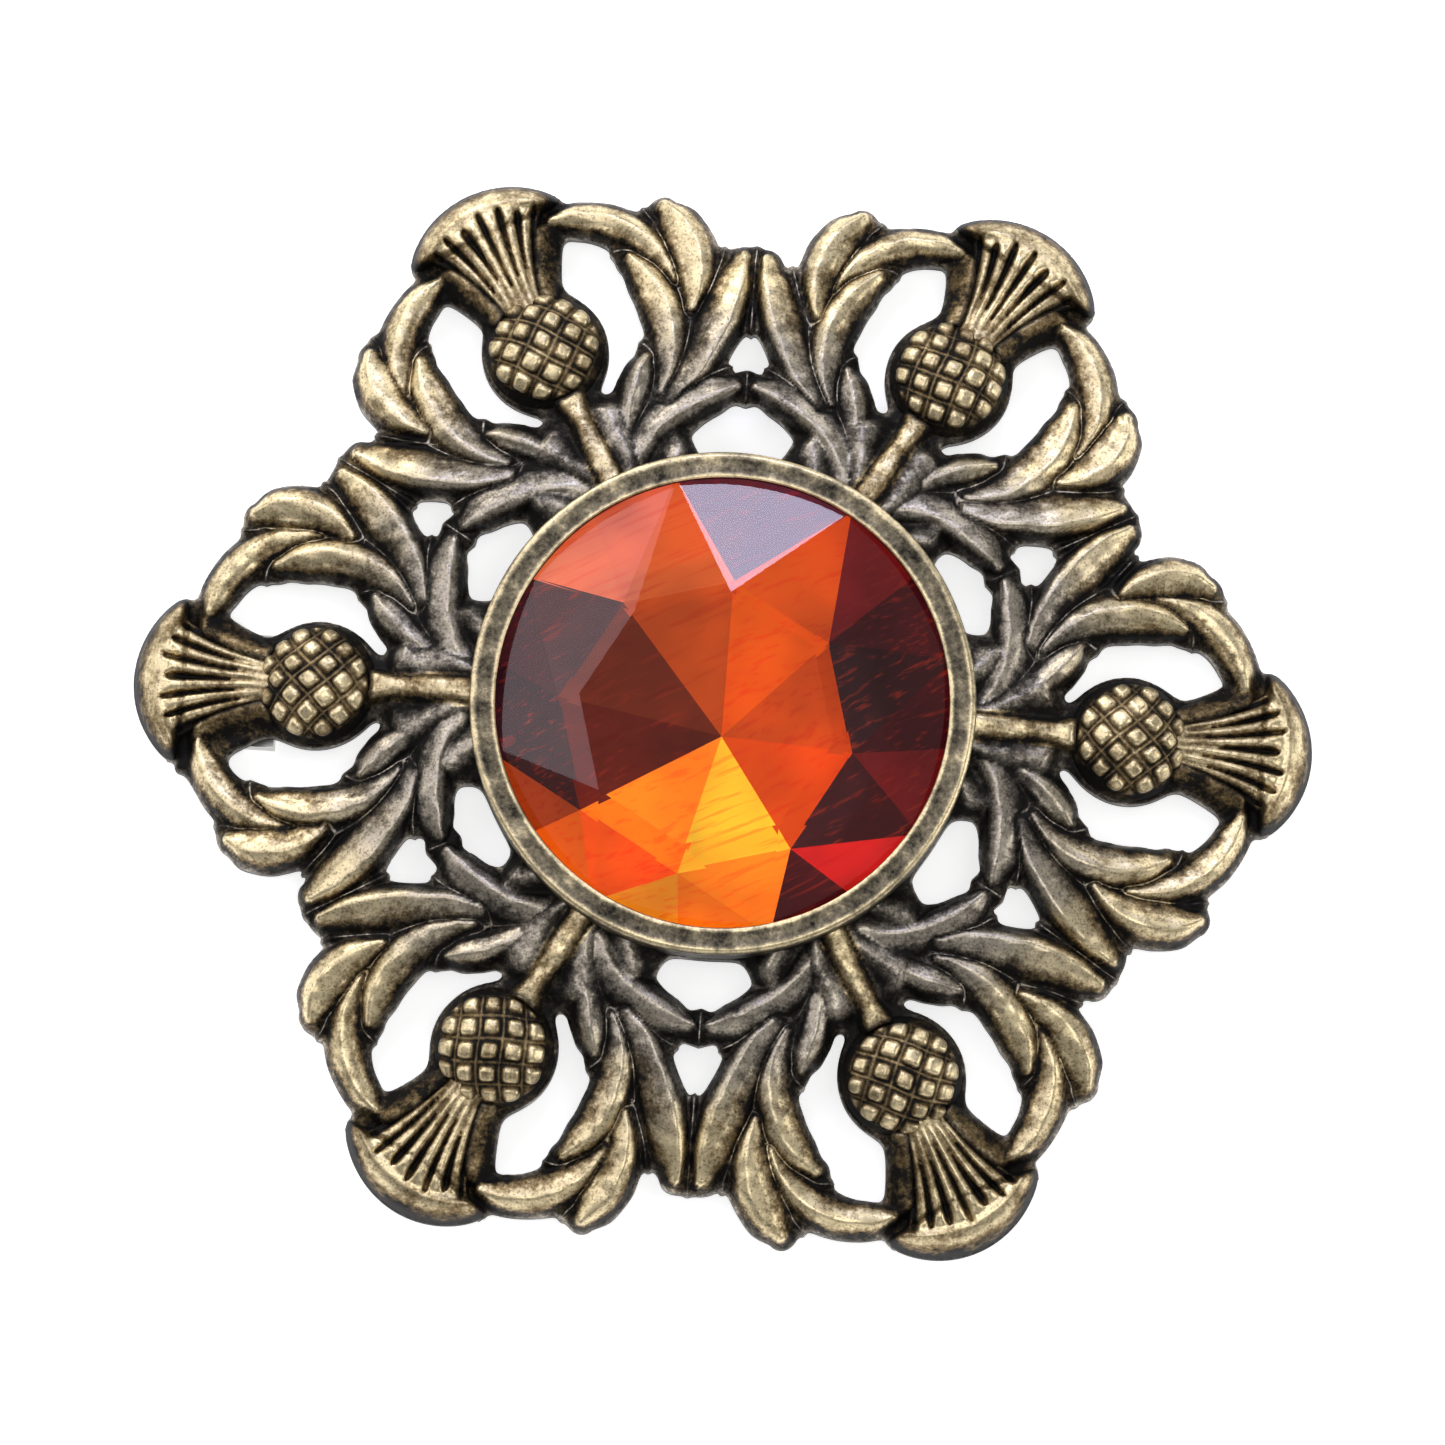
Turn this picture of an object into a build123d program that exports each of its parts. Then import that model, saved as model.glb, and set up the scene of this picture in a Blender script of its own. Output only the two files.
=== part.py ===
from build123d import *
import math
import os

# Thistle brooch: a domed openwork frame of six thistles and their leaves round a large cut stone.
# Lengths are in millimetres and angles in degrees. The brooch lies on its back: Z is up, z = 0 is
# the plane that the rim rests on, one thistle points along +X and the axis of the stone is the Z axis.

# Frame
brooch_radius = 32.5
dome_rise = 5.0
plate_thickness = 1.3
flange_width = 0.4
thistle_count = 6
collar_height = 0.3
foot_width = 9.6
foot_length = 3.5
foot_round = 1.0
relief_sink = 0.3

# Leaves
leaf_width = 2.4
leaf_height = 1.1

# Thistle heads
ball_diameter = 6.6
ball_height = 2.2
lattice_pitch = 1.3
lattice_groove = 0.32
lattice_depth = 0.35
tuft_length = 5.4
tuft_width = 8.0
tuft_neck = 3.0
tuft_height = 1.7
flute_count = 7
flute_width = 0.5
flute_depth = 0.45
cap_width = 9.2
cap_length = 1.9
cap_edge = 0.5
stem_width = 1.3
stem_height = 1.0

# Stone
stone_diameter = 25.0
table_diameter = 15.6
crown_height = 2.2
girdle_height = 0.5
pavilion_depth = 4.2
break_diameter = 12.5
break_depth = 2.5
facet_count = 8
stone_turn = -7.0

# Setting
bezel_wall = 1.15
lip_reach = 0.2
lip_thickness = 0.45
lip_round = 0.4
bezel_height = 2.6
seat_width = 0.5
cup_wall = 0.6
cup_floor = 0.6
cup_bevel = 1.2
stone_gap = 0.1
setting_gap = 0.06

# Pin
pin_diameter = 1.0
pin_clearance = 0.3
hinge_place = 25.4
hinge_length = 1.8
hinge_width = 6.2
hinge_offset = -0.3
catch_place = 22.5
catch_diameter = 3.6
back_gap = 0.06

# Leaves of one side of a thistle. Each has a base, a middle and a tip: "out" is a share of the way
# from the setting to the rim, "turn" a share of the way from the thistle's axis to the line between
# two thistles, and the last two columns are shares of leaf_width and leaf_height.
LEAF_COLUMNS = (
    "base_out", "base_turn", "mid_out", "mid_turn", "tip_out", "tip_turn", "width", "height")
LEAVES = {
    "root": (0.09, 0.18, 0.16, 0.60, 0.18, 1.04, 0.80, 0.70),
    "small": (0.18, 0.20, 0.23, 0.34, 0.31, 0.45, 0.72, 0.70),
    "middle": (0.19, 0.56, 0.40, 0.83, 0.65, 0.95, 0.98, 1.00),
    "inner": (0.23, 0.52, 0.47, 0.60, 0.65, 0.46, 0.90, 0.90),
    "outer": (0.48, 0.70, 0.66, 0.73, 0.81, 0.63, 1.00, 1.00),
    "arch": (0.58, 0.64, 0.73, 0.51, 0.83, 0.21, 0.78, 0.85),
}

# Sections of a leaf from its base to its tip: shares of its length, its width and its height.
LEAF_SECTIONS = (
    {"along": 0.00, "width": 0.38, "height": 0.40},
    {"along": 0.28, "width": 0.74, "height": 0.80},
    {"along": 0.60, "width": 1.00, "height": 1.00},
    {"along": 0.86, "width": 0.84, "height": 0.90},
    {"along": 1.00, "width": 0.42, "height": 0.50},
)

# Sections of a tuft from its neck to its cap: shares of its length, its flare and its height.
TUFT_SECTIONS = (
    {"along": 0.00, "flare": 0.00, "height": 0.60},
    {"along": 0.50, "flare": 0.30, "height": 0.85},
    {"along": 1.00, "flare": 1.00, "height": 1.00},
)

# Turn of the lattice on each thistle's ball, as a share of a right angle, from the +X thistle on.
LATTICE_TURNS = (0.50, 0.13, 0.42, 0.50, 0.33, 0.50)

# Worked-out sizes
stone_radius = stone_diameter / 2
bore_radius = stone_radius + stone_gap
bezel_radius = bore_radius + bezel_wall
opening_radius = stone_radius - lip_reach
dome_radius = (brooch_radius ** 2 + dome_rise ** 2) / (2 * dome_rise)
dome_centre = dome_rise - dome_radius
half_pitch = 180 / thistle_count
tuft_end = brooch_radius - cap_length
tuft_start = tuft_end - tuft_length
ball_place = tuft_start - ball_diameter / 2 + lattice_depth


def dome_z(radius, offset=0.0):
    """Height of the sphere that lies offset above the inside of the dome, at a radius."""
    return dome_centre + math.sqrt((dome_radius + offset) ** 2 - radius ** 2)


def plate_z(radius):
    """Height of the upper face of the domed plate at a radius."""
    return dome_z(radius, plate_thickness)


collar_z = plate_z(bezel_radius) + collar_height
bezel_top = collar_z + setting_gap + bezel_height
table_radius = table_diameter / 2
break_radius = break_diameter / 2
facet_step = 360 / facet_count
scallop = stone_radius * (1 - math.cos(math.radians(facet_step / 2)))
crown_slope = crown_height / (stone_radius - table_radius)
back_slope = break_depth / (stone_radius - break_radius)
girdle_top = bezel_top - lip_thickness - stone_gap - scallop * crown_slope
girdle_bottom = girdle_top - girdle_height
table_z = girdle_top + crown_height
culet_z = girdle_bottom - pavilion_depth
seat_z = girdle_bottom - (scallop + seat_width) * back_slope - stone_gap
cup_top_z = culet_z - stone_gap
cup_radius = bore_radius - seat_width + cup_wall
hole_radius = cup_radius + setting_gap


def polar(radius, angle, z=0.0):
    """A point from its radius, its angle round the Z axis and its height."""
    turn = math.radians(angle)
    return (radius * math.cos(turn), radius * math.sin(turn), z)


def leaf_spot(out, turn, side):
    """A point of a leaf from its two shares, on one side of the +X thistle."""
    radius = bezel_radius + out * (brooch_radius - bezel_radius)
    return polar(radius, side * turn * half_pitch)


def leaf_path(leaf, side):
    """The arc along the middle of a leaf."""
    row = dict(zip(LEAF_COLUMNS, LEAVES[leaf]))
    spots = [leaf_spot(row[end + "_out"], row[end + "_turn"], side) for end in ("base", "mid", "tip")]
    return ThreePointArc(*spots), row["width"] * leaf_width / 2, row["height"] * leaf_height


def arched_section(centre, heading, half_width, height):
    """A flat-bottomed arch across a path, standing on the plate and sunk a little into it."""
    base_z = plate_z(math.hypot(centre.X, centre.Y)) - relief_sink
    plane = Plane(
        origin=(centre.X, centre.Y, base_z),
        x_dir=(-heading.Y, heading.X, 0),
        z_dir=(heading.X, heading.Y, 0))
    arch = ThreePointArc((-half_width, 0), (0, height + relief_sink), (half_width, 0))
    return plane.location * make_face([arch, Line((half_width, 0), (-half_width, 0))])


def leaf_body(leaf, side):
    """A rounded leaf that swells from its base and narrows to its tip."""
    path, half_width, height = leaf_path(leaf, side)
    sections = []
    for row in LEAF_SECTIONS:
        centre = path @ row["along"]
        heading = path % row["along"]
        sections.append(
            arched_section(centre, heading, half_width * row["width"], height * row["height"]))
    return loft(sections)


def leaf_footprint(leaf, side):
    """The outline of a leaf with its flange, as a flat face of arcs."""
    path, half_width, _ = leaf_path(leaf, side)
    edges = {1: [], -1: []}
    for row in LEAF_SECTIONS:
        centre = path @ row["along"]
        heading = path % row["along"]
        reach = half_width * row["width"] + flange_width
        for hand in (1, -1):
            edges[hand].append(centre + Vector(-heading.Y, heading.X) * reach * hand)
    base = path @ 0 - (path % 0) * flange_width
    tip = path @ 1 + (path % 1) * flange_width
    left = edges[1]
    right = edges[-1]
    return make_face([
        ThreePointArc(left[0], left[1], left[2]),
        ThreePointArc(left[2], left[3], left[4]),
        ThreePointArc(left[4], tip, right[4]),
        ThreePointArc(right[4], right[3], right[2]),
        ThreePointArc(right[2], right[1], right[0]),
        ThreePointArc(right[0], base, left[0]),
    ])


def cap_outline():
    """The crescent at the top of a thistle, on the +X axis, as a flat face."""
    shoulder = tuft_end - cap_edge
    side = cap_width / 2
    outer = ThreePointArc((shoulder, -side), (brooch_radius, 0), (shoulder, side))
    inner = ThreePointArc((shoulder, side), (tuft_end, 0), (shoulder, -side))
    return make_face([outer, inner])


def head_footprint():
    """The outline of a thistle's stem, ball, tuft and cap with their flange, on the +X axis."""
    stem_reach = stem_width / 2 + flange_width
    stem = Pos((bezel_radius + ball_place) / 2, 0) * Rectangle(
        ball_place - bezel_radius + 2 * flange_width, 2 * stem_reach)
    ball = Pos(ball_place, 0) * Circle(ball_diameter / 2 + flange_width)
    neck_reach = tuft_neck / 2 + flange_width
    shoulder = tuft_end - cap_edge
    wide_reach = tuft_width / 2 + flange_width
    waist = tuft_start + tuft_length * TUFT_SECTIONS[1]["along"]
    waist_reach = neck_reach + (wide_reach - neck_reach) * TUFT_SECTIONS[1]["flare"]
    inside = ball_place + ball_diameter / 4
    tuft = make_face([
        Line((inside, neck_reach), (inside, -neck_reach)),
        Line((inside, -neck_reach), (tuft_start, -neck_reach)),
        ThreePointArc((tuft_start, -neck_reach), (waist, -waist_reach), (shoulder, -wide_reach)),
        ThreePointArc(
            (shoulder, -wide_reach), (tuft_end + cap_edge, 0), (shoulder, wide_reach)),
        ThreePointArc((shoulder, wide_reach), (waist, waist_reach), (tuft_start, neck_reach)),
        Line((tuft_start, neck_reach), (inside, neck_reach)),
    ])
    foot = Pos(bezel_radius, 0) * RectangleRounded(2 * foot_length, foot_width, foot_round)
    return [stem, ball, tuft, cap_outline(), foot]


def sector_footprint():
    """The flat outline of one thistle with the leaves on both sides of it."""
    faces = head_footprint()
    for leaf in LEAVES:
        for side in (1, -1):
            faces.append(leaf_footprint(leaf, side))
    outline = faces[0]
    for face in faces[1:]:
        outline = outline + face
    return outline


def pierced_plate():
    """The domed plate, cut to the outline of the leaves and thistles and pierced between them."""
    sector = sector_footprint()
    outline = Circle(bezel_radius)
    for step in range(thistle_count):
        outline = outline + Rot(0, 0, 360 / thistle_count * step) * sector
    outline = outline - Circle(hole_radius)
    ceiling = dome_rise + 2 * plate_thickness
    block = extrude(outline, amount=ceiling)
    reach = brooch_radius + plate_thickness
    middle = brooch_radius / 2
    profile = make_face([
        ThreePointArc((0, plate_z(0)), (middle, plate_z(middle)), (reach, plate_z(reach))),
        Line((reach, plate_z(reach)), (reach, dome_z(reach))),
        ThreePointArc((reach, dome_z(reach)), (middle, dome_z(middle)), (0, dome_z(0))),
        Line((0, dome_z(0)), (0, plate_z(0))),
    ])
    shell = revolve(Plane.XZ * profile, Axis.Z)
    return block & shell


def collar():
    """The raised ring round the middle of the frame that carries the rim of the setting."""
    low = plate_z(bezel_radius) - relief_sink
    ring = Circle(bezel_radius) - Circle(hole_radius)
    return Pos(0, 0, low) * extrude(ring, amount=collar_z - low)


def stem():
    """The round stem from the setting to a thistle's ball, along +X."""
    heading = Vector(1, 0, 0)
    sections = []
    for radius in (bezel_radius + setting_gap, ball_place):
        sections.append(arched_section(Vector(radius, 0, 0), heading, stem_width / 2, stem_height))
    return loft(sections)


def ball(turn):
    """A thistle's rounded ball with a crossed lattice cut into it, standing square on the dome."""
    half = ball_diameter / 2

    def cap(height):
        """A low round cap of a given height on the ball's circle."""
        radius = (half ** 2 + height ** 2) / (2 * height)
        clip = Pos(0, 0, height / 2 - relief_sink / 2) * Cylinder(half, height + relief_sink)
        return Pos(0, 0, height - radius) * Sphere(radius) & clip

    studs = cap(ball_height)
    rows = int(half / lattice_pitch) + 1
    for quarter in (0, 90):
        for row in range(-rows, rows):
            slot = Box(2 * ball_diameter, lattice_groove, 4 * ball_height)
            studs -= Rot(0, 0, quarter + 90 * turn) * Pos(0, (row + 0.5) * lattice_pitch, 0) * slot
    body = studs + cap(ball_height - lattice_depth)
    slope = math.degrees(math.asin(ball_place / (dome_radius + plate_thickness)))
    return Pos(ball_place, 0, plate_z(ball_place)) * Rot(0, slope, 0) * body


def tuft():
    """A thistle's tuft: a fan with an arched top and flutes that run together at the neck."""
    heading = Vector(1, 0, 0)
    sections = []
    for row in TUFT_SECTIONS:
        radius = tuft_start + tuft_length * row["along"]
        half_width = (tuft_neck + (tuft_width - tuft_neck) * row["flare"]) / 2
        sections.append(
            arched_section(Vector(radius, 0, 0), heading, half_width, tuft_height * row["height"]))
    body = loft(sections)
    for index in range(flute_count):
        place = (index + 0.5) / flute_count * 2 - 1
        crest = plate_z(tuft_end) + tuft_height * (1 - place ** 2)
        near = Vector(tuft_start + flute_width, place * tuft_neck / 2, 0)
        far = Vector(tuft_end + cap_edge, place * tuft_width / 2, 0)
        lean = flute_width / 2
        wedge = make_face(Polyline(
            tuple(near), (far.X, far.Y - lean), (far.X, far.Y + lean), close=True))
        body -= Pos(0, 0, crest - flute_depth) * extrude(wedge, amount=ball_height + tuft_height)
    return body


def cap():
    """The sloping cap at a thistle's top, from the tuft's crest down to the rim."""
    low = plate_z(brooch_radius) - relief_sink
    crest = plate_z(tuft_end) + tuft_height
    block = Pos(0, 0, low) * extrude(cap_outline(), amount=crest - low)
    fall = crest - plate_z(brooch_radius) - cap_edge
    slope = Plane(
        origin=(tuft_end, 0, crest),
        x_dir=(0, 1, 0),
        z_dir=(fall, 0, cap_length))
    return split(block, bisect_by=slope, keep=Keep.BOTTOM)


def openwork_frame():
    """The whole cast frame: plate, collar, leaves and thistles."""
    relief = [collar()]
    for step in range(thistle_count):
        place = Rot(0, 0, 360 / thistle_count * step)
        turn = LATTICE_TURNS[step % len(LATTICE_TURNS)]
        for body in (stem(), ball(turn), tuft(), cap()):
            relief.append(place * body)
        for leaf in LEAVES:
            for side in (1, -1):
                relief.append(place * leaf_body(leaf, side))
    return pierced_plate().fuse(*relief)


def bezel_cup():
    """The setting: a raised ring with a rounded top and a closed cup that hangs through the frame."""
    rim_z = collar_z + setting_gap
    round_z = bezel_top - lip_round
    seat_radius = bore_radius - seat_width
    bottom_z = cup_top_z - cup_floor
    lip_z = bezel_top - lip_thickness
    bend = lip_round * (1 - math.sqrt(0.5))
    profile = make_face([
        Line((0, bottom_z), (cup_radius - cup_bevel, bottom_z)),
        Line((cup_radius - cup_bevel, bottom_z), (cup_radius, bottom_z + cup_bevel)),
        Line((cup_radius, bottom_z + cup_bevel), (cup_radius, rim_z)),
        Line((cup_radius, rim_z), (bezel_radius, rim_z)),
        Line((bezel_radius, rim_z), (bezel_radius, round_z)),
        ThreePointArc(
            (bezel_radius, round_z),
            (bezel_radius - bend, bezel_top - bend),
            (bezel_radius - lip_round, bezel_top)),
        Line((bezel_radius - lip_round, bezel_top), (opening_radius, bezel_top)),
        Line((opening_radius, bezel_top), (opening_radius, lip_z)),
        Line((opening_radius, lip_z), (bore_radius, lip_z)),
        Line((bore_radius, lip_z), (bore_radius, seat_z)),
        Line((bore_radius, seat_z), (seat_radius, seat_z)),
        Line((seat_radius, seat_z), (seat_radius, cup_top_z + cup_bevel)),
        Line((seat_radius, cup_top_z + cup_bevel), (seat_radius - cup_bevel, cup_top_z)),
        Line((seat_radius - cup_bevel, cup_top_z), (0, cup_top_z)),
        Line((0, cup_top_z), (0, bottom_z)),
    ])
    return revolve(Plane.XZ * profile, Axis.Z)


def facet_plane(first, second, third):
    """The plane through three corners of a facet, facing away from the stone's middle."""
    first = Vector(*first)
    normal = (Vector(*second) - first).cross(Vector(*third) - first).normalized()
    middle = Vector(0, 0, (girdle_top + girdle_bottom) / 2)
    if normal.dot(first - middle) < 0:
        normal = normal * -1
    return Plane(origin=first, z_dir=normal)


def facet_ring(inner_radius, inner_z, edge_z, slope):
    """Facets between an inner polygon and the girdle: wide ones at the polygon's corners, whose
    edges meet at the girdle, and a triangle on each side of the polygon."""
    planes = []
    for index in range(facet_count):
        corner = stone_turn + facet_step * index
        here = polar(inner_radius, corner, inner_z)
        after = polar(inner_radius, corner + facet_step, inner_z)
        edge = polar(stone_radius, corner, edge_z)
        across = polar(1, corner + 90)
        beside = (edge[0] + across[0], edge[1] + across[1], edge_z)
        peak = polar(stone_radius, corner + facet_step / 2, edge_z + scallop * slope)
        planes.append(facet_plane(here, edge, beside))
        planes.append(facet_plane(here, after, peak))
    return planes


def stone():
    """The cut stone: a table, two rows of facets round it, a girdle and a pointed back."""
    body = Pos(0, 0, culet_z) * Cylinder(
        stone_radius, table_z - culet_z, align=(Align.CENTER, Align.CENTER, Align.MIN))
    break_z = girdle_bottom - break_depth
    planes = facet_ring(table_radius, table_z, girdle_top, crown_slope)
    planes += facet_ring(break_radius, break_z, girdle_bottom, -back_slope)
    for index in range(facet_count):
        corner = stone_turn + facet_step * index
        here = polar(break_radius, corner, break_z)
        after = polar(break_radius, corner + facet_step, break_z)
        planes.append(facet_plane((0, 0, culet_z), here, after))
    for plane in planes:
        body = split(body, bisect_by=plane, keep=Keep.BOTTOM)
    return body


def brooch_pin():
    """The pin: a straight stem with its hinge at one end and its catch at the other."""
    centre_z = pin_clearance + pin_diameter / 2
    length = hinge_place + catch_place
    shaft = Pos((catch_place - hinge_place) / 2, 0, centre_z) * Rot(0, 90, 0) * Cylinder(
        pin_diameter / 2, length)
    top = dome_rise
    hinge = Pos(-hinge_place, hinge_offset, pin_clearance) * Box(
        hinge_length, hinge_width, top, align=(Align.CENTER, Align.CENTER, Align.MIN))
    catch = Pos(catch_place, 0, pin_clearance) * Cylinder(
        catch_diameter / 2, top, align=(Align.CENTER, Align.CENTER, Align.MIN))
    inside = Pos(0, 0, dome_centre) * Sphere(dome_radius - back_gap)
    return shaft + (hinge & inside) + (catch & inside)


os.makedirs("parts", exist_ok=True)
for name, body in (
        ("openwork_frame", openwork_frame()),
        ("bezel_cup", bezel_cup()),
        ("stone", stone()),
        ("brooch_pin", brooch_pin())):
    export_step(body, "parts/" + name + ".step")
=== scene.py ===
import math

import bpy
import numpy as np
from mathutils import Matrix, Vector
from mathutils.geometry import delaunay_2d_cdt


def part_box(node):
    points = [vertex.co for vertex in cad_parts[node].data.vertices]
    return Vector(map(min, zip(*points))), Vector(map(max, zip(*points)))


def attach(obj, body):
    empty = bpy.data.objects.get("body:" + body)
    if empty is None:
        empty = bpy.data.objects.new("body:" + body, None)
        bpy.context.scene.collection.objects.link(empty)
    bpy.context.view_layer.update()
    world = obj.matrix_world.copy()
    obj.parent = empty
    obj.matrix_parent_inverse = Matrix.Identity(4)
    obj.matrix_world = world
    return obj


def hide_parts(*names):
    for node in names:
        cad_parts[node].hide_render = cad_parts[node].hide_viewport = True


bl_info = {
    "name": "Thistle brooch",
    "version": (1, 0, 0),
    "blender": (4, 5, 0),
    "location": "3D View > Sidebar > Brooch",
    "description": "Cast relief, patina, setting and cut stone over the brooch's CAD solids",
    "category": "Object",
}

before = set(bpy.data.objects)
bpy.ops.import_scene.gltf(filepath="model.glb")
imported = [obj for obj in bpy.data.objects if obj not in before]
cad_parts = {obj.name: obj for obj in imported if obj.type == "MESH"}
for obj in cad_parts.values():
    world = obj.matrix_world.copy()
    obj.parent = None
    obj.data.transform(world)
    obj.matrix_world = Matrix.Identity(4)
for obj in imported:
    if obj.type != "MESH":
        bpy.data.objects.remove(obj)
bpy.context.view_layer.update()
MM = 0.001

# Sizes that the CAD solids give, in millimetres like all the sizes in the shape functions.
BROOCH_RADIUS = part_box("openwork_frame")[1].x / MM
BEZEL_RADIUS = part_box("bezel_cup")[1].x / MM
BEZEL_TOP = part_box("bezel_cup")[1].z / MM
CUP_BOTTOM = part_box("bezel_cup")[0].z / MM
STONE_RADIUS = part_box("stone")[1].x / MM
TABLE_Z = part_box("stone")[1].z / MM
CULET_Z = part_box("stone")[0].z / MM

# The plate is a dome, with six thistles spaced evenly round it.
THISTLES = 6
HALF_PITCH = math.pi / THISTLES
DOME_RISE = 5.0
PLATE = 1.3
DOME_RADIUS = (BROOCH_RADIUS ** 2 + DOME_RISE ** 2) / (2 * DOME_RISE)
BACK_STEP = 0.8

# A thistle's head: a ball, a fan-shaped tuft that flares from its neck, and a cap at the rim.
CAP_LENGTH = 1.9
CAP_RADIUS = 5.608
CAP_BACK = 29.3
CAP_HALF = 4.62
TUFT_LENGTH = 5.4
TUFT_END = BROOCH_RADIUS - CAP_LENGTH
TUFT_START = TUFT_END - TUFT_LENGTH
NECK_HALF = 1.45
TUFT_FLARE = 2.5
BALL_RADIUS = 3.3
BALL_RISE = 1.88
BALL_PLACE = TUFT_START - 2.95

# Leaves of one side of a thistle, with the same first columns as the part's source: base, middle
# and tip as shares of the way out to the rim and of the way round to the line between two
# thistles, then width and height as shares of the whole leaf's. Three more columns give the way
# round on the left side as a share of the right side's, the keel's place across the leaf from -1
# to 1, and the width of the leaf's base as a share of its own.
LEAVES = (
    (0.05, 0.18, 0.15, 0.56, 0.20, 0.97, 0.98, 0.80, 1.00, 0.30, 1.00),
    (0.13, 0.24, 0.24, 0.35, 0.34, 0.48, 0.72, 0.75, 1.00, -0.10, 0.80),
    (0.19, 0.56, 0.40, 0.83, 0.65, 0.95, 1.02, 1.00, 0.99, 0.46, 0.70),
    (0.22, 0.50, 0.46, 0.60, 0.65, 0.47, 1.00, 0.90, 0.98, 0.26, 0.36),
    (0.47, 0.71, 0.66, 0.73, 0.81, 0.64, 1.06, 1.00, 0.94, 0.36, 0.36),
    (0.56, 0.66, 0.72, 0.52, 0.82, 0.22, 0.86, 0.85, 0.97, 0.26, 0.36),
)

# Places along a leaf, its height there and, after its base, its width there.
LEAF_ALONG = (0.0, 0.28, 0.60, 0.86, 1.0)
LEAF_HEIGHTS = (0.60, 0.84, 1.0, 0.96, 0.78)
LEAF_WIDTHS = (0.84, 1.03, 0.86, 0.42)
LEAF_END = 0.957

# Two lengths by which leaves stand further out than the table says, for the six places between
# two thistles, from the one that follows the +X thistle on. Then, for each leaf of the table, the
# shares of the two that its middle takes. Its tip takes twice as much.
GAP_SHIFTS = ((-0.5, -1.2), (0.5, -0.2), (0.0, -0.9), (-0.6, -1.0), (0.0, 0.0), (0.1, -0.3))
GAP_SHARES = ((0.5, 0.0), (0.0, 0.0), (0.0, 0.5), (0.0, 0.0), (0.0, 0.5), (0.0, 0.2))

# The most that chance moves a leaf's points outward in millimetres and round in radians, and the
# most that it changes the leaf's width and height, as shares.
CHANCE_OUT = 0.13
CHANCE_ROUND = 0.004
CHANCE_WIDTH = 0.06
CHANCE_HEIGHT = 0.07

# Turn of the lattice on each thistle's ball, as a share of a right angle.
LATTICE_TURNS = (0.50, 0.13, 0.42, 0.50, 0.33, 0.50)

# The length over which the parts of the openwork's outline melt into each other.
MELT = 0.33


def plate_z(radius, thickness=PLATE):
    """Height of a dome at a thickness over the plate's inside, a sphere about a point far below."""
    return DOME_RISE - DOME_RADIUS + np.sqrt((DOME_RADIUS + thickness) ** 2 - radius ** 2)


def ease(value, low, high):
    """Nought below low, one above high, and 3t squared less 2t cubed between them."""
    share = np.clip((value - low) / (high - low), 0, 1)
    return share * share * (3 - 2 * share)


def bell(value, width):
    """One where the value is nought, falling off as e to minus the square of value over width."""
    return np.exp(-(value / width) ** 2)


def rounded(value, width):
    """A quarter circle's rise from nought to one: upright at nought, level from the width on."""
    return np.sqrt(1 - (1 - np.clip(value / width, 0, 1)) ** 2)


def tame_exp(value):
    """The exponential of a value, kept within what a number can hold."""
    return np.exp(np.clip(value, -60, 60))


def planar_grid(low_x, high_x, low_y, high_y, pitch):
    """A grid of planar points x + iy, x along the first axis."""
    x = np.arange(low_x, high_x + pitch, pitch)
    y = np.arange(low_y, high_y + pitch, pitch)
    return x[:, None] + 1j * y[None, :]


def raised(spots, level):
    """Points over planar spots, all at one height or each at its own."""
    return np.stack((spots.real, spots.imag, np.broadcast_to(level, spots.shape)), axis=1)


def clipped_grid(inside):
    """The part of a grid where `inside` is above nought. A cell that the outline crosses is cut
    on straight lines between the places where `inside` passes through nought along its sides, but
    not at a grid point. Gives the faces by corner count, and a function that carries grid values
    to their corners: a straight mix of the values at two grid points."""
    least_share, most_share = 0.04, 0.96
    keep = inside > 0
    flat = np.arange(inside.size).reshape(inside.shape)
    number = np.where(keep, np.cumsum(keep).reshape(keep.shape) - 1, -1)
    first, second, share = [flat[keep]], [flat[keep]], [np.zeros(keep.sum())]
    total = int(keep.sum())
    sides = []
    for here, there in ((np.s_[:-1, :], np.s_[1:, :]), (np.s_[:, :-1], np.s_[:, 1:])):
        crossed = keep[here] != keep[there]
        low, high = inside[here][crossed], inside[there][crossed]
        first.append(flat[here][crossed])
        second.append(flat[there][crossed])
        share.append(np.clip(low / (low - high), least_share, most_share))
        sides.append(total + np.cumsum(crossed).reshape(crossed.shape) - 1)
        total += int(crossed.sum())
    corners = (number[:-1, :-1], number[1:, :-1], number[1:, 1:], number[:-1, 1:])
    edges = (sides[0][:, :-1], sides[1][1:, :], sides[0][:, 1:], sides[1][:-1, :])
    code = sum((corner >= 0) * 2 ** n for n, corner in enumerate(corners))
    faces = []
    for kind in range(1, 16):
        ring = []
        for n in range(4):
            if kind >> n & 1:
                ring.append(corners[n])
            if (kind >> n & 1) != (kind >> (n + 1) % 4 & 1):
                ring.append(edges[n])
        faces.append(np.stack([slot[code == kind] for slot in ring], axis=1))
    first, second, share = [np.concatenate(part) for part in (first, second, share)]

    def at_corners(values):
        """Grid values at the faces' corners."""
        line = values.ravel()
        return line[first] * (1 - share) + line[second] * share

    return at_corners, faces


def open_edges(faces):
    """Edges that only one face has, each in that face's direction."""
    start = np.concatenate([face.ravel() for face in faces])
    end = np.concatenate([np.roll(face, -1, axis=1).ravel() for face in faces])
    count = start.max() + 1
    alone = ~np.isin(start * count + end, end * count + start)
    return start[alone], end[alone]


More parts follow.
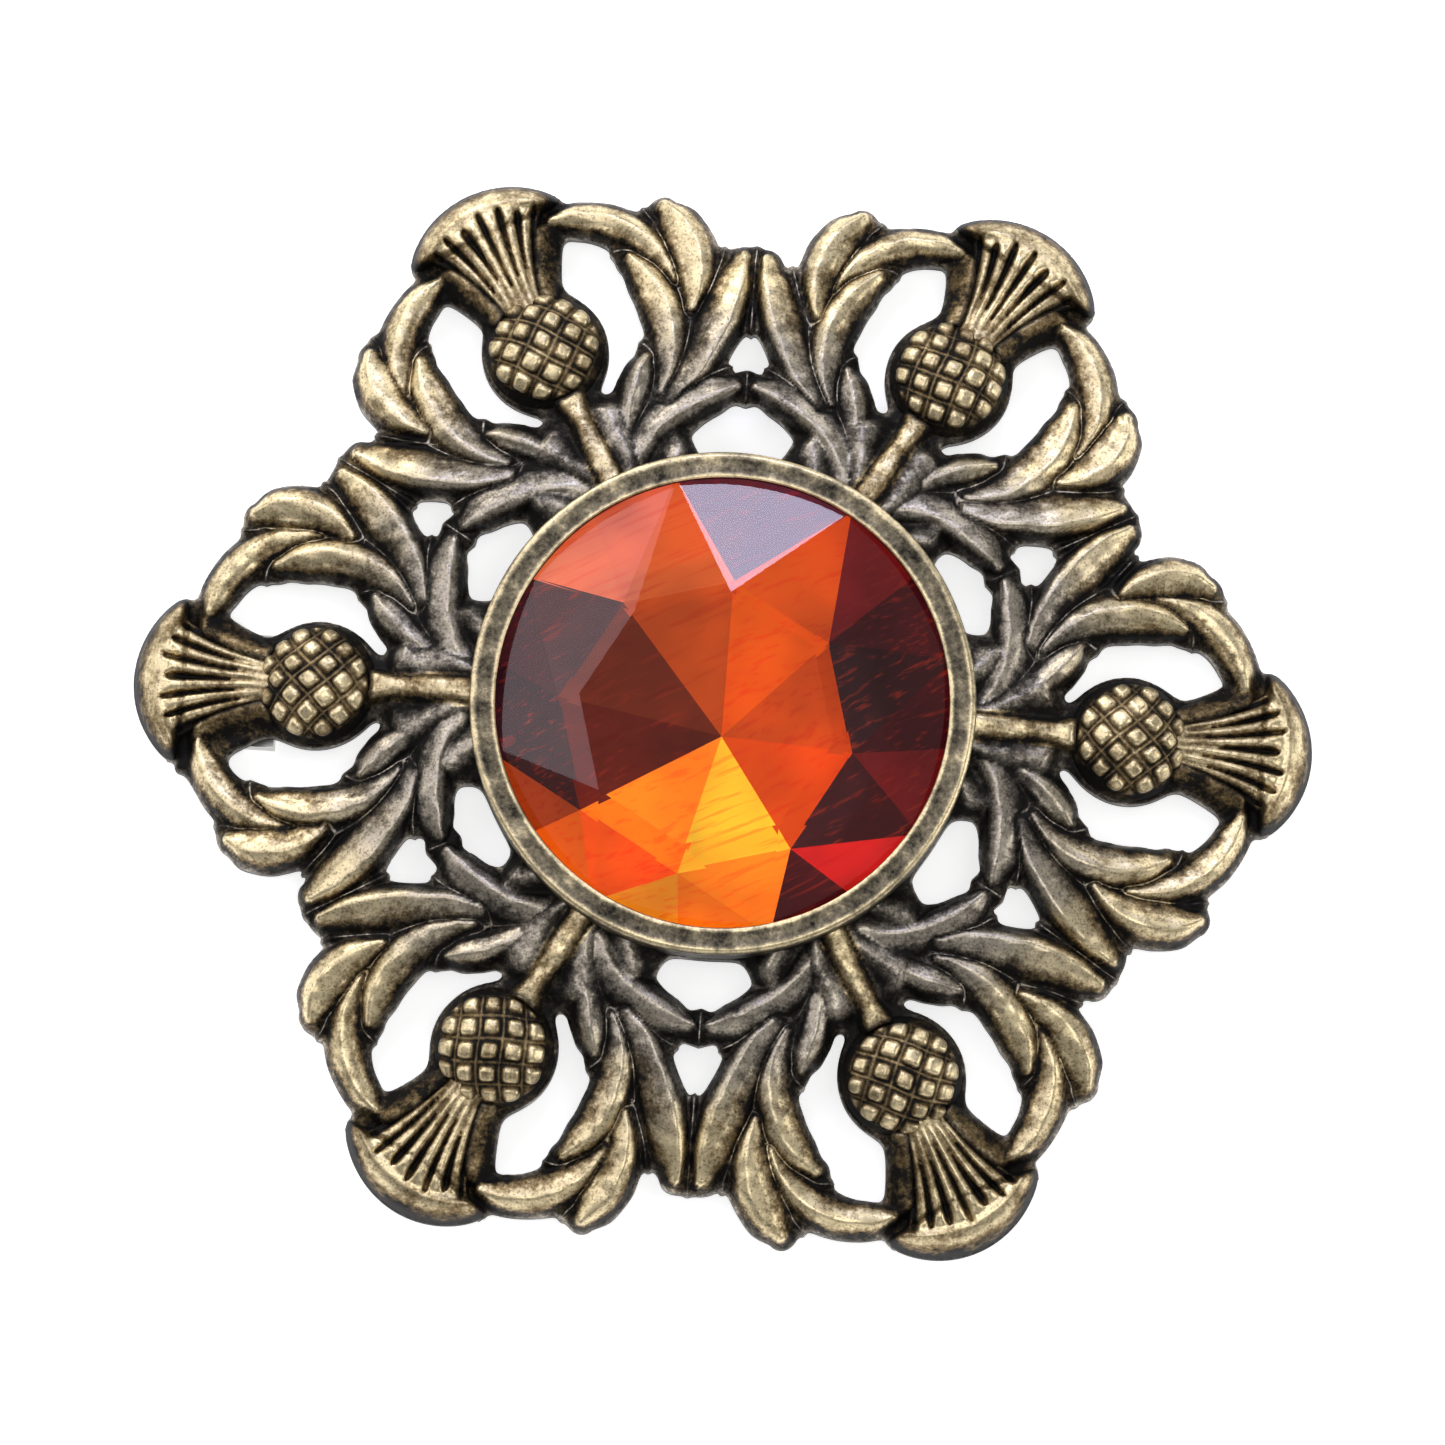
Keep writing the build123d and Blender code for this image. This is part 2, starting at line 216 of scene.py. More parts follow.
def fill_outline(spots, start, end):
    """Triangles between planar spots, kept where they lie to the left of the outline's edges.
    Each triangle on an edge takes its side from the edge's direction, and passes it on."""
    tolerance, most_passes = 1e-9, 200
    coords = [Vector((spot.real, spot.imag)) for spot in spots]
    result = delaunay_2d_cdt(coords, np.stack((start, end), 1).tolist(), [], 0, tolerance)
    origin = np.array([ids[0] for ids in result[3]])
    triangles = origin[np.array(result[2])]
    count = len(spots)
    begin = triangles.ravel()
    finish = np.roll(triangles, -1, axis=1).ravel()
    key, back = begin * count + finish, finish * count + begin
    outline = start * count + end
    side = np.isin(key, outline) * 1 - np.isin(back, outline) * 1
    label = side.reshape(-1, 3).sum(axis=1)
    order = np.argsort(key)
    spot = np.clip(np.searchsorted(key[order], back), 0, len(key) - 1)
    match = order[spot]
    joined = (key[match] == back) & (side == 0)
    one, other = np.nonzero(joined)[0] // 3, match[joined] // 3
    for _ in range(most_passes):
        blank = (label[one] == 0) & (label[other] != 0)
        if not blank.any():
            break
        label[one[blank]] = label[other[blank]]
    return triangles[label > 0]


def close_below(points, faces, foot, filling, steps=1):
    """Closes an open sheet: a wall under its edge, in even steps down to the height that `foot`
    gives for a radius, then a back of triangles at that height, between the wall's last row and
    the filling spots."""
    start, end = open_edges(faces)
    rim, place = np.unique(start, return_inverse=True)
    follow = np.searchsorted(rim, end)
    spots = points[rim, 0] + 1j * points[rim, 1]
    upper = rim
    stack = [points]
    total = len(points)
    closed = list(faces)
    for share in np.arange(1, steps + 1) / steps:
        lower = total + np.arange(len(rim))
        stack.append(raised(spots, points[rim, 2] * (1 - share) + foot(abs(spots)) * share))
        total += len(rim)
        closed.append(np.stack((upper[follow], upper[place], lower[place], lower[follow]), axis=1))
        upper = lower
    stack.append(raised(filling, foot(abs(filling))))
    back = fill_outline(np.concatenate((spots, filling)), place, follow)
    closed.append(back[:, ::-1] + upper[0])
    return np.concatenate(stack), closed


def filled(mask, points, value):
    """A sheet's mask carried on over its walls and back, which all take one value."""
    return np.pad(mask, (0, len(points) - len(mask)), constant_values=value)


def arc_through(base, middle, tip, share, count=33):
    """Points on the circle through three planar points, evenly spaced over a share of its arc."""
    w = (tip - base) / (middle - base)
    centre = base + (middle - base) * (w - abs(w) ** 2) / (2j * w.imag)
    sweep = np.angle((tip - centre) / (base - centre))
    return centre + (base - centre) * np.exp(1j * sweep * np.linspace(0, share, count))


def beside_path(spots, path):
    """For planar spots: the distance to a path, negative on its right, and the share of the path
    at the nearest point, from the nearest of its straight pieces."""
    step = np.diff(path)
    offset = spots[..., None] - path[:-1]
    share = np.clip((offset * step.conj()).real / abs(step) ** 2, 0, 1)
    gap = offset - share * step
    near = abs(gap).argmin(axis=-1)[..., None]
    gap = np.take_along_axis(gap, near, -1)[..., 0]
    share = np.take_along_axis(share, near, -1)[..., 0]
    side = np.sign((step[near[..., 0]].conj() * gap).imag)
    return abs(gap) * np.where(side < 0, -1, 1), (near[..., 0] + share) / len(step)


def soft_table(place, values):
    """A table's values along a leaf. They are averaged under a bell over a few fine steps, so that
    the leaf's sections don't show as corners."""
    reach = 5
    fine = np.linspace(-0.2, 1.2, 85)
    line = np.interp(fine, LEAF_ALONG, values)
    kernel = np.hanning(2 * reach + 1)
    padded = np.pad(line, reach, mode="edge")
    return np.interp(place, fine, np.convolve(padded, kernel / kernel.sum(), mode="valid"))


def leaf_paths(sizes):
    """Every leaf's path, half width, height, keel and base: an arc through three points that the
    table gives in polar form, turned and mirrored to its thistle, and a little uneven."""
    chance = np.random.default_rng(11)
    span = BROOCH_RADIUS - BEZEL_RADIUS
    leaves = []
    for sector in range(THISTLES):
        for side in (1, -1):
            shift = GAP_SHIFTS[(sector if side > 0 else sector - 1) % THISTLES]
            for row, take in zip(LEAVES, GAP_SHARES):
                width, height, left, keel, base = row[6:]
                trim = left if side > 0 else 1.0
                draw = chance.uniform(-1, 1, 5)
                spots = []
                for n in range(3):
                    radius = BEZEL_RADIUS + row[2 * n] * span + CHANCE_OUT * draw[n]
                    radius += n * (shift[0] * take[0] + shift[1] * take[1])
                    turn = side * row[2 * n + 1] * trim * HALF_PITCH + 2 * HALF_PITCH * sector
                    spots.append(radius * np.exp(1j * (turn + CHANCE_ROUND * draw[(n + 1) % 3])))
                half = width * sizes.leaf_width / MM / 2 * (1 + CHANCE_WIDTH * draw[3])
                rise = height * sizes.leaf_height / MM * (1 + CHANCE_HEIGHT * draw[4])
                leaves.append((arc_through(*spots, LEAF_END), half, rise, keel * side, base))
    return leaves


def head_outline(spot):
    """How far inside a thistle's ball, fan and cap a spot lies, on the +X thistle: a circle, a
    strip that widens with a mix of the way out and its square, and the outer part of a larger
    circle, cut off with rounded corners. The fourth value is the fan's half width there."""
    corner = 0.16
    x, y = spot.real, abs(spot.imag)
    ball = BALL_RADIUS - abs(spot - BALL_PLACE)
    way = np.clip((x - TUFT_START) / TUFT_LENGTH, 0, 1.1)
    half = NECK_HALF + TUFT_FLARE * (0.45 * way + 0.55 * way ** 2)
    fan = np.minimum((half - y) * 0.85, np.minimum(x - TUFT_START + 0.9, TUFT_END - 0.8 - x))
    cap = CAP_RADIUS - abs(spot - (BROOCH_RADIUS - CAP_RADIUS))
    for limit in (x - CAP_BACK - 0.10 * y, CAP_HALF - y):
        cap = -corner * np.log(tame_exp(-cap / corner) + tame_exp(-limit / corner))
    return ball, fan, cap, half


def leaf_fields(spots, sizes):
    """The leaves on a planar grid. Each place belongs to the leaf whose edge lies furthest out from
    it. A leaf falls from a keel off its middle, with a shallow vein on the keel's far side. Gives
    the owner's height and rubbing, its distance inside its edge, the runner-up's, the sum of all
    leaves' exponentials for the outline, and the difference of the two distances with a sign that
    changes where the owner does."""
    margin = 2.4
    x, y = spots[:, 0].real, spots[0].imag
    flange = sizes.flange_width / MM
    crown, shine, blend = np.zeros((3,) + spots.shape)
    nearest, second = np.full((2,) + spots.shape, -9.0)
    owner, other = np.zeros((2,) + spots.shape, dtype=int)
    for number, (path, width, rise, keel, base) in enumerate(leaf_paths(sizes)):
        i = slice(*np.searchsorted(x, (path.real.min() - margin, path.real.max() + margin)))
        j = slice(*np.searchsorted(y, (path.imag.min() - margin, path.imag.max() + margin)))
        gap, place = beside_path(spots[i, j], path)
        reach = width * soft_table(place, (base,) + LEAF_WIDTHS)
        within = reach - abs(gap)
        across = gap / reach
        lean = abs(across - keel) / (1 - keel * np.sign(across - keel))
        lean = np.sqrt(lean ** 2 + 0.001)
        vein = 0.09 * bell(across + 0.42 * np.sign(keel), 0.12) * ease(place, 0.1, 0.3)
        fall = 0.54 * lean + 0.14 * ease(lean, 0.55, 1.0)
        top = rise * soft_table(place, LEAF_HEIGHTS) * (1.12 - fall) - vein
        rub = 0.66 - 0.44 * ease(lean, 0.45, 0.95) + 0.26 * bell(lean, 0.33)
        rub += 0.06 * ease(place, 0.3, 1.0)
        own = within > nearest[i, j]
        runner = ~own & (within > second[i, j])
        other[i, j] = np.where(own, owner[i, j], np.where(runner, number, other[i, j]))
        owner[i, j] = np.where(own, number, owner[i, j])
        second[i, j] = np.where(own, nearest[i, j], np.maximum(second[i, j], within))
        nearest[i, j] = np.where(own, within, nearest[i, j])
        crown[i, j] = np.where(own, top, crown[i, j])
        shine[i, j] = np.where(own, rub, shine[i, j])
        blend[i, j] += np.exp((within + flange) / MELT)
    seam = (nearest - second) * np.sign(owner - other)
    return crown, shine, nearest, second, blend, seam


def relief_fields(spots, sizes):
    """The frame's height above the plate, the distance inside its outline, its rubbing, its tone,
    and the seam between two leaves with a mask of where it shows, on a planar grid. A leaf is
    steep near its edge and near the next leaf, where a thin web stands. A stem stands on a round
    foot with low ribs, and a tuft's sides slope down to a skirt. The outline is a smooth greatest
    value of all the parts' distances, each with its own border, less the balls, tufts and caps,
    which are pieces of their own, and less the setting's bore."""
    crown, shine, nearest, second, blend, seam = leaf_fields(spots, sizes)
    leaf_edge, web_height, grey_radius, web_radius, brass_radius = 0.24, 0.32, 15.5, 18.0, 27.0
    within = np.minimum(nearest, (nearest - second) * 0.5 + 0.03)
    floor = 0.30 * ease(nearest, 0.0, 0.35)
    height = crown * np.maximum(rounded(within, leaf_edge), floor)
    height = np.where(nearest > 0, height, 0)
    rub = np.where(nearest > 0, shine * ease(within, 0.0, 0.22), 0)
    even = bell(seam, 0.30) * ease(abs(spots), grey_radius, web_radius)
    web = web_height * even * ease(nearest, -0.80, -0.40) * ease(-nearest, -0.12, 0.02)
    line = even * ease(nearest, -0.60, -0.30) * ease(-nearest, -0.45, -0.25)
    height = np.maximum(height, web)

    radius = abs(spots)
    local = spots * np.exp(-2j * HALF_PITCH * np.round(np.angle(spots) / (2 * HALF_PITCH)))
    ball, fan, cap, _ = head_outline(local)
    stem_height, stem_edge = 1.12, 0.62
    thick = sizes.stem_width / MM / 2 + 0.20 * ease(BALL_PLACE - 3.0 - local.real, 0, 4.5)
    thick = thick + 0.25 * ease(local.real, BALL_PLACE - 4.6, BALL_PLACE - 3.0)
    bar = np.minimum(thick - abs(local.imag), BALL_PLACE - local.real)
    bar = np.minimum(bar, local.real)
    stem = stem_height * rounded(bar, stem_edge) * (bar > 0)
    worn = (0.40 + 0.28 * ease(bar, 0.3, 0.65)) * ease(bar, 0.05, 0.4)
    rub = np.where(stem > height, worn, rub)
    height = np.maximum(height, stem)

    foot_radius, rib_count, ring_height = 5.0, 11, 0.3
    ring = BEZEL_RADIUS - radius
    height = np.maximum(height, ring_height * ease(ring, -0.25, 0.0))
    foot = foot_radius - abs(local - BEZEL_RADIUS)
    swing = rib_count * np.angle(local - BEZEL_RADIUS + 3.0) + 0.7 * np.sin(local.real)
    ribs = 0.5 - 0.5 * np.cos(swing)
    boss = (0.22 + 0.62 * ribs) * ease(foot, 0.0, 0.8) * ease(foot, 5.0, 3.8)
    rub = np.where(boss > height, 0.14 + 0.56 * ribs ** 2, rub)
    height = np.maximum(height, boss)

    # The skirt is broader on the side of the -X thistle where the pin's hinge stands behind it.
    skirt_height, skirt_half, hinge_cover, hinge_reach = 0.95, 4.2, 0.78, 6
    skirt_start, slope_end, skirt_end = 24.3, 29.2, 29.7
    hinge = (spots.real < 0) * (abs(spots.imag) < hinge_reach) * (spots.imag < 0)
    skirt = np.minimum(2.2 + 0.52 * (local.real - 25.0), skirt_half) + hinge_cover * hinge
    skirt = (skirt - abs(local.imag)) * 0.9
    skirt = np.minimum(skirt, np.minimum(local.real - skirt_start, skirt_end - local.real))
    slope = skirt_height * (1 - ease(-fan, -0.1, 1.15)) * ease(skirt, 0.0, 0.3)
    slope = slope * ease(slope_end - local.real, 0, 0.5)
    rub = np.where(slope > height, 0.30 * ease(slope, 0.0, 0.6), rub)
    height = np.maximum(height, slope)

    borders = (
        (ball, 0.20), (fan, 0.38), (cap, -0.35), (bar, 0.45),
        (foot, 0.0), (skirt, 0.0), (ring, 0.0), (second, 0.48))
    for part, border in borders:
        blend += tame_exp((part + border) / MELT)
    inside = MELT * np.log(np.maximum(blend, 1e-30))
    core = np.maximum(np.maximum(ball, fan), cap) - 0.35
    inside = np.minimum(inside, np.minimum(-core, radius - (STONE_RADIUS + 0.26)))
    tone = np.where(bar > 0, 1.0, ease(radius, grey_radius, brass_radius))
    tone = tone * ease(inside, 0.0, 0.4) * (1 - 0.8 * ease(web, 0.05, 0.3))
    return height, inside, rub, tone, seam, line


def blurred(values, reach):
    """Values averaged over a square of 2 * reach + 1 grid points, three times over."""
    size = 2 * reach + 1
    for _ in range(3):
        for axis in (0, 1):
            before = [(size, 0) if n == axis else (0, 0) for n in (0, 1)]
            total = np.cumsum(np.pad(values, before), axis)
            index = np.arange(values.shape[axis]) + reach + size
            index = np.clip(index, 0, total.shape[axis] - 1)
            values = (total.take(index, axis) - total.take(index - size, axis)) / size
    return values


def leafwork_shell(sizes):
    """The openwork: the plate's dome plus the relief, a little wavy, rounded over at the outline,
    with walls down to the dome's inside. Its crests are rubbed more where they stand above the
    mean height round them."""
    edge_width, edge_drop, wave_height = 0.35, 0.4, 0.05
    reach = BROOCH_RADIUS + 0.3
    spots = planar_grid(-reach, reach, -reach, reach, sizes.grid_pitch / MM)
    height, inside, rub, tone, seam, line = relief_fields(spots, sizes)
    wave = np.sin(2.7 * spots.real + 1.4 * np.sin(1.9 * spots.imag)) * np.sin(3.1 * spots.imag + 0.8)
    height = height + wave_height * wave * ease(height, 0.3, 0.8)
    top = plate_z(abs(spots)) + height - edge_drop * (1 - rounded(inside, edge_width))
    solid = (inside > 0) * 1.0
    around = blurred(height * solid, 4) / np.maximum(blurred(solid, 4), 0.05)
    wear = rub * ease(height, 0.05, 0.6) + 0.30 * (height - around)
    wear = np.maximum(wear, 0.17 + 0.42 * (1 - ease(inside, 0.0, 0.24)) * (height < 0.5))
    wear = np.clip(wear, 0, 1)
    at_corners, faces = clipped_grid(inside)
    points = raised(at_corners(spots), at_corners(top))
    masks = [at_corners(field) for field in (wear, tone, seam, line)]
    coarse = planar_grid(-reach, reach, -reach, reach, BACK_STEP)
    filling = coarse[relief_fields(coarse, sizes)[1] > 0.3]
    points, faces = close_below(points, faces, lambda radius: plate_z(radius, 0.0), filling)
    plain = (0.12, 0.12, 1.0, 0.0)
    return points, faces, *[filled(mask, points, value) for mask, value in zip(masks, plain)]


def ball_shell(turn, sizes):
    """A thistle's ball: a low round cap, its grid laid along the sphere's arcs, with rounded
    square studs raised along the sphere's normal, thin lines between them and a plain border.
    The lattice is bowed a little, and the studs differ in size and brightness."""
    pitch, wall_foot = 0.085, -1.0
    bend = (BALL_RADIUS ** 2 + BALL_RISE ** 2) / (2 * BALL_RISE)
    limit = bend * math.asin(BALL_RADIUS / bend)
    spots = planar_grid(-limit - 0.1, limit + 0.1, -limit - 0.1, limit + 0.1, pitch)
    inside = limit - abs(spots)
    grid = spots * np.exp(-1j * turn * math.pi / 2) / (sizes.lattice_pitch / MM)
    cell_x, cell_y = grid.real, grid.imag
    bow = 0.05 * np.sin(1.7 * cell_y + 0.8), 0.05 * np.sin(1.9 * cell_x)
    cell_x, cell_y = cell_x + bow[0], cell_y + bow[1]
    u, v = abs(cell_x - np.round(cell_x)) * 2, abs(cell_y - np.round(cell_y)) * 2
    odd = np.sin(12.9 * np.round(cell_x) + 7.8 * np.round(cell_y) + 5.0 * turn)
    square = (u ** 4 + v ** 4) ** 0.25 * (1 + 0.09 * odd)
    stud = np.sqrt(np.clip(1 - ease(square, 0.38, 0.86), 0, 1)) * (1 - 0.12 * square ** 2)
    border = ease(inside, 0.40, 0.95)
    line = bell(1 - np.maximum(u, v), 0.10)
    bright = np.maximum(ease(0.84 - square, 0.0, 0.30) * (0.88 - 0.14 * odd), 0.50 * line)
    lift = sizes.lattice_depth / MM * np.maximum(stud, 0.25 * line) * border
    at_corners, faces = clipped_grid(inside)
    spot, lift = at_corners(spots), at_corners(lift)
    angle = abs(spot) / bend
    way = spot / np.maximum(abs(spot), 1e-9)
    out = (bend + lift) * np.sin(angle)
    up = (bend + lift) * np.cos(angle) - bend + BALL_RISE
    wear = at_corners(bright * border) * (0.65 + 0.35 * ease(up, 0.2, 1.8))
    wear = 0.15 + 0.82 * wear
    middle = np.zeros(1, complex)
    points, faces = close_below(raised(out * way, up), faces, lambda radius: wall_foot, middle)
    return points, faces, filled(wear, points, 0.1)


def join_shells(shells):
    """Several shells as one: their points end to end, with the faces' numbers moved on."""
    total = 0
    faces = []
    for points, parts, _ in shells:
        faces += [part + total for part in parts]
        total += len(points)
    return np.concatenate([s[0] for s in shells]), faces, np.concatenate([s[2] for s in shells])


def thistle_balls_shell(sizes):
    """The six balls: each is tipped to stand square on the dome and turned to its thistle."""
    tip = Matrix.Rotation(math.asin(BALL_PLACE / (DOME_RADIUS + PLATE)), 3, "Y")
    seat = Vector((BALL_PLACE, 0, float(plate_z(BALL_PLACE))))
    shells = []
    for step in range(THISTLES):
        points, faces, wear = ball_shell(LATTICE_TURNS[step], sizes)
        turn = Matrix.Rotation(2 * HALF_PITCH * step, 3, "Z")
        shells.append((points @ np.array(turn @ tip).T + np.array(turn @ seat), faces, wear))
    return join_shells(shells)


def tuft_shell(step, sizes):
    """A thistle's tuft and cap: an arched fan with teardrop flutes that run together at the neck,
    a crest line bent like a bow, and beyond it a cap that falls in a curve to the rim. Its wall
    stops just above the dome's inside."""
    pitch, melt, flute_depth, ridge_height = 0.095, 0.12, 0.42, 0.09
    reach, edge_width, edge_drop, crest_back = 4.9, 0.4, 0.25, 1.55
    seat_radius, wall_foot = 28.0, 0.15
    spots = planar_grid(TUFT_START - 1.0, BROOCH_RADIUS + 0.1, -reach, reach, pitch)
    _, fan, cap, half = head_outline(spots)
    inside = melt * np.log(np.exp(fan / melt) + np.exp(cap / melt))
    x, y = spots.real, spots.imag
    way = (x - TUFT_START) / TUFT_LENGTH
    across = y / half
    rim = BROOCH_RADIUS - CAP_RADIUS + np.sqrt(np.clip(CAP_RADIUS ** 2 - y ** 2, 0.01, None))
    crest = rim - crest_back
    arch = np.sqrt(np.clip(1 - 0.80 * np.clip(abs(across), 0, 1.05) ** 2, 0.05, 1))
    height = sizes.tuft_height / MM
    fan_z = height * (0.62 + 0.38 * ease(way, 0.1, 1.0)) * arch
    over = np.clip((x - crest) / np.maximum(rim - crest, 0.3), 0, 1)
    cap_arch = np.sqrt(np.clip(1 - 0.5 * (y / reach) ** 2, 0.1, 1))
    cap_z = height * (0.93 * (1 - over ** 2.3) + 0.15) * cap_arch

    count = sizes.flute_count
    cell = (across + 0.04 * np.sin(1.7 * step + 0.4) * (1 - way) + 1) / 2 * count
    centre = np.floor(cell) + 0.5
    off = abs(cell - centre) / count * 2 * half
    uneven = np.sin(2.3 * centre + 1.9 * step)
    end = crest - 0.05 - 0.30 * uneven
    start = TUFT_START + 1.0 + 0.6 * uneven
    along = np.clip((x - start) / np.maximum(end - start, 1), 0, 1)
    blunt = np.clip((along - 0.84) / 0.16, 0, 1)
    lens = along ** 0.8 * np.sqrt(1 - blunt ** 2)
    broad = (0.52 + 0.10 * uneven) * (0.4 + half / count) * 0.68 * lens
    groove = ease(1 - off / np.maximum(broad, 1e-3), 0, 0.8) * (broad > 0.03) * (abs(across) < 0.96)
    swell = 1 - np.cos(2 * np.pi * (cell - centre))
    ridge = ridge_height * swell * ease(way, 0, 0.2) * ease(crest - x, 0.1, 0.8)
    beyond = ease(x, crest - 0.35, crest + 0.35)
    relief = (fan_z + ridge - flute_depth * groove) * (1 - beyond) + cap_z * beyond
    relief = relief * rounded(inside, edge_width)
    relief = relief - edge_drop * (1 - np.clip(inside / edge_width, 0, 1))

    band = bell(x - crest + 0.35, 0.5)
    wear = 0.55 + 0.30 * band + 0.28 * (0.5 * swell) - 0.58 * groove
    wear = np.where(x > crest, 0.74 - 0.38 * ease(over, 0.45, 0.72) + 0.1 * band, wear)
    wear = np.clip(wear * ease(inside, 0.0, 0.45) * (0.5 + 0.5 * arch), 0.05, 1)
    at_corners, faces = clipped_grid(inside)
    turn = np.exp(2j * HALF_PITCH * step)
    points = raised(at_corners(spots) * turn, at_corners(plate_z(abs(spots)) + relief))
    mask = at_corners(wear)
    seat = np.array([seat_radius * turn])
    points, faces = close_below(points, faces, lambda radius: plate_z(radius, wall_foot), seat, 2)
    return points, faces, filled(mask, points, 0.12)


def thistle_tufts_shell(sizes):
    """The six tufts with their caps."""
    return join_shells([tuft_shell(step, sizes) for step in range(THISTLES)])


def spun_shell(profile, steps, uneven):
    """A profile carried round the Z axis. Its first and last points lie on the axis and become
    poles. Outside and above a limit, the radius and height waver a little with the angle, like a
    hand-finished rim."""
    still_radius, still_level = 12.6, 6
    angle = np.linspace(0, 2 * np.pi, steps, endpoint=False)[:, None]
    radius, level = profile[1:-1, 0][None, :], profile[1:-1, 1][None, :]
    waver = np.sin(3 * angle + 0.7) + 0.6 * np.sin(7 * angle + 2.1) + 0.4 * np.sin(13 * angle)
    grow = uneven * waver * np.clip(radius - still_radius, 0, 1)
    lift = uneven * np.sin(5 * angle + 1.2) * np.clip(level - still_level, 0, 1) * -1
    points = np.stack(np.broadcast_arrays(
        (radius + grow) * np.cos(angle), (radius + grow) * np.sin(angle), level + lift), axis=-1)
    count = profile.shape[0] - 2
    grid = np.arange(steps * count).reshape(steps, count)
    after = np.roll(grid, -1, axis=0)
    quads = np.stack((grid[:, :-1], after[:, :-1], after[:, 1:], grid[:, 1:]), axis=-1)
    low, high = steps * count, steps * count + 1
    bottom = np.stack((np.full(steps, low), after[:, 0], grid[:, 0]), axis=1)
    top = np.stack((np.full(steps, high), grid[:, -1], after[:, -1]), axis=1)
    poles = np.array([[0, 0, profile[0, 1]], [0, 0, profile[-1, 1]]])
    return np.concatenate((points.reshape(-1, 3), poles)), [quads.reshape(-1, 4), bottom, top]


def rounded_corner(radius, level, size, start, count=6):
    """Points of a quarter circle in the profile's plane, from an angle in degrees on."""
    angle = np.radians(np.linspace(start, start + 90, count))
    return np.stack((radius + size * np.cos(angle), level + size * np.sin(angle)), axis=1)


def setting_shell():
    """The setting: a closed cup and a raised rim with two rounded edges and a shallow hollow
    between them, spun round the stone's axis. Its two edges are rubbed bright."""
    steps, waver = 240, 0.02
    outer, top = BEZEL_RADIUS, BEZEL_TOP
    lip, bore, lip_depth = STONE_RADIUS - 0.2, STONE_RADIUS + 0.1, 0.45
    rim_z, seat_z, wall, inner = 5.79, 5.9, 12.70, 12.1
    bottom, bevel, thick = CUP_BOTTOM, 1.2, 0.6
    outer_round, lip_round, hollow_depth = 0.30, 0.16, 0.07
    share = np.linspace(0, 1, 9)[1:-1]
    hollow = outer - 0.34 - share * (outer - 0.34 - lip - 0.2)
    hollow = np.stack((hollow, top - hollow_depth * np.sin(np.pi * share)), axis=1)
    profile = np.concatenate((
        [[0, bottom], [11.5, bottom], [wall, bottom + bevel], [wall, rim_z]],
        [[outer - 0.05, rim_z], [outer, rim_z + 0.1], [outer - 0.03, top - 1.2]],
        rounded_corner(outer - outer_round, top - outer_round, outer_round, 0),
        hollow,
        rounded_corner(lip + lip_round, top - lip_round, lip_round, 90),
        [[lip, top - lip_depth], [bore, top - lip_depth], [bore, seat_z], [inner, seat_z]],
        [[inner, bottom + bevel + thick], [10.9, bottom + thick], [0, bottom + thick]],
    ))
    points, faces = spun_shell(profile, steps, waver)
    radius, level = np.hypot(points[:, 0], points[:, 1]), points[:, 2]
    edges = bell(radius - outer + 0.18, 0.16) + bell(radius - lip - 0.1, 0.12)
    wear = np.where(level > top - 0.35, 0.42 + 0.50 * edges, 0.15 + 0.2 * ease(level, 6.2, 7.8))
    wear = np.where(radius < lip + 0.02, 0.1, wear)
    return points, faces, np.clip(wear, 0.05, 1)


def stone_shell(sizes):
    """The cut stone: a table, corner facets that meet the girdle in an arc, triangles between
    them, the girdle, the same again below and eight facets that meet at the culet. The table and
    the back's polygon lie off the axis, as in the photo. A corner facet is flat, so the girdle's
    edge leaves its level by the slope times the arc's distance outward from the facet's chord."""
    count, fine, first_corner = 8, 8, math.radians(-7.0)
    total = count * fine
    girdle_top, girdle_low = TABLE_Z - 1.6, CULET_Z + 3.75
    break_z = girdle_low - 1.45
    corner = first_corner + 2 * np.pi * np.arange(count) / count
    ring = first_corner + 2 * np.pi * np.arange(total) / total
    off = 2 * np.pi * ((np.arange(total) + fine / 2) % fine - fine / 2) / total
    owner = (np.arange(total) + fine // 2) // fine % count
    way = np.exp(1j * corner)
    middle = complex(*sizes.cut_shift) / MM
    table = middle + sizes.table_diameter / MM / 2 * way
    inner = middle + sizes.break_diameter / MM / 2 * way
    chord = STONE_RADIUS * math.cos(math.pi / count)
    bulge = STONE_RADIUS * np.cos(off) - chord
    slope = (TABLE_Z - girdle_top) / (chord - (table * way.conj()).real)
    back_slope = (girdle_low - break_z) / (chord - (inner * way.conj()).real)
    edge = STONE_RADIUS * np.exp(1j * ring)
    culet_spot = np.array([complex(*sizes.culet_shift)]) / MM
    points = np.concatenate((
        raised(table, TABLE_Z),
        raised(edge, girdle_top - bulge * slope[owner]),
        raised(edge, girdle_low + bulge * back_slope[owner]),
        raised(inner, break_z),
        raised(culet_spot, CULET_Z),
    ))
    n = np.arange(count)
    after = (n + 1) % count
    upper, lower = count, count + total
    deep, culet = count + 2 * total, 2 * count + 2 * total
    arc = (fine * n[:, None] + np.arange(-fine // 2, fine // 2 + 1)) % total
    peak = arc[:, -1]
    k = np.arange(total)
    following = (k + 1) % total
    faces = [
        n[None, :],
        np.concatenate((n[:, None], upper + arc), axis=1),
        np.stack((n, upper + peak, after), axis=1),
        np.stack((lower + k, lower + following, upper + following, upper + k), axis=1),
        np.concatenate((deep + n[:, None], lower + arc[:, fine // 2::-1]), axis=1),
        np.concatenate((deep + n[:, None], lower + arc[:, :fine // 2 - 1:-1]), axis=1),
        np.stack((deep + after, lower + peak, deep + n), axis=1),
        np.stack((deep + after, deep + n, np.full(count, culet)), axis=1),
    ]
    return points, faces


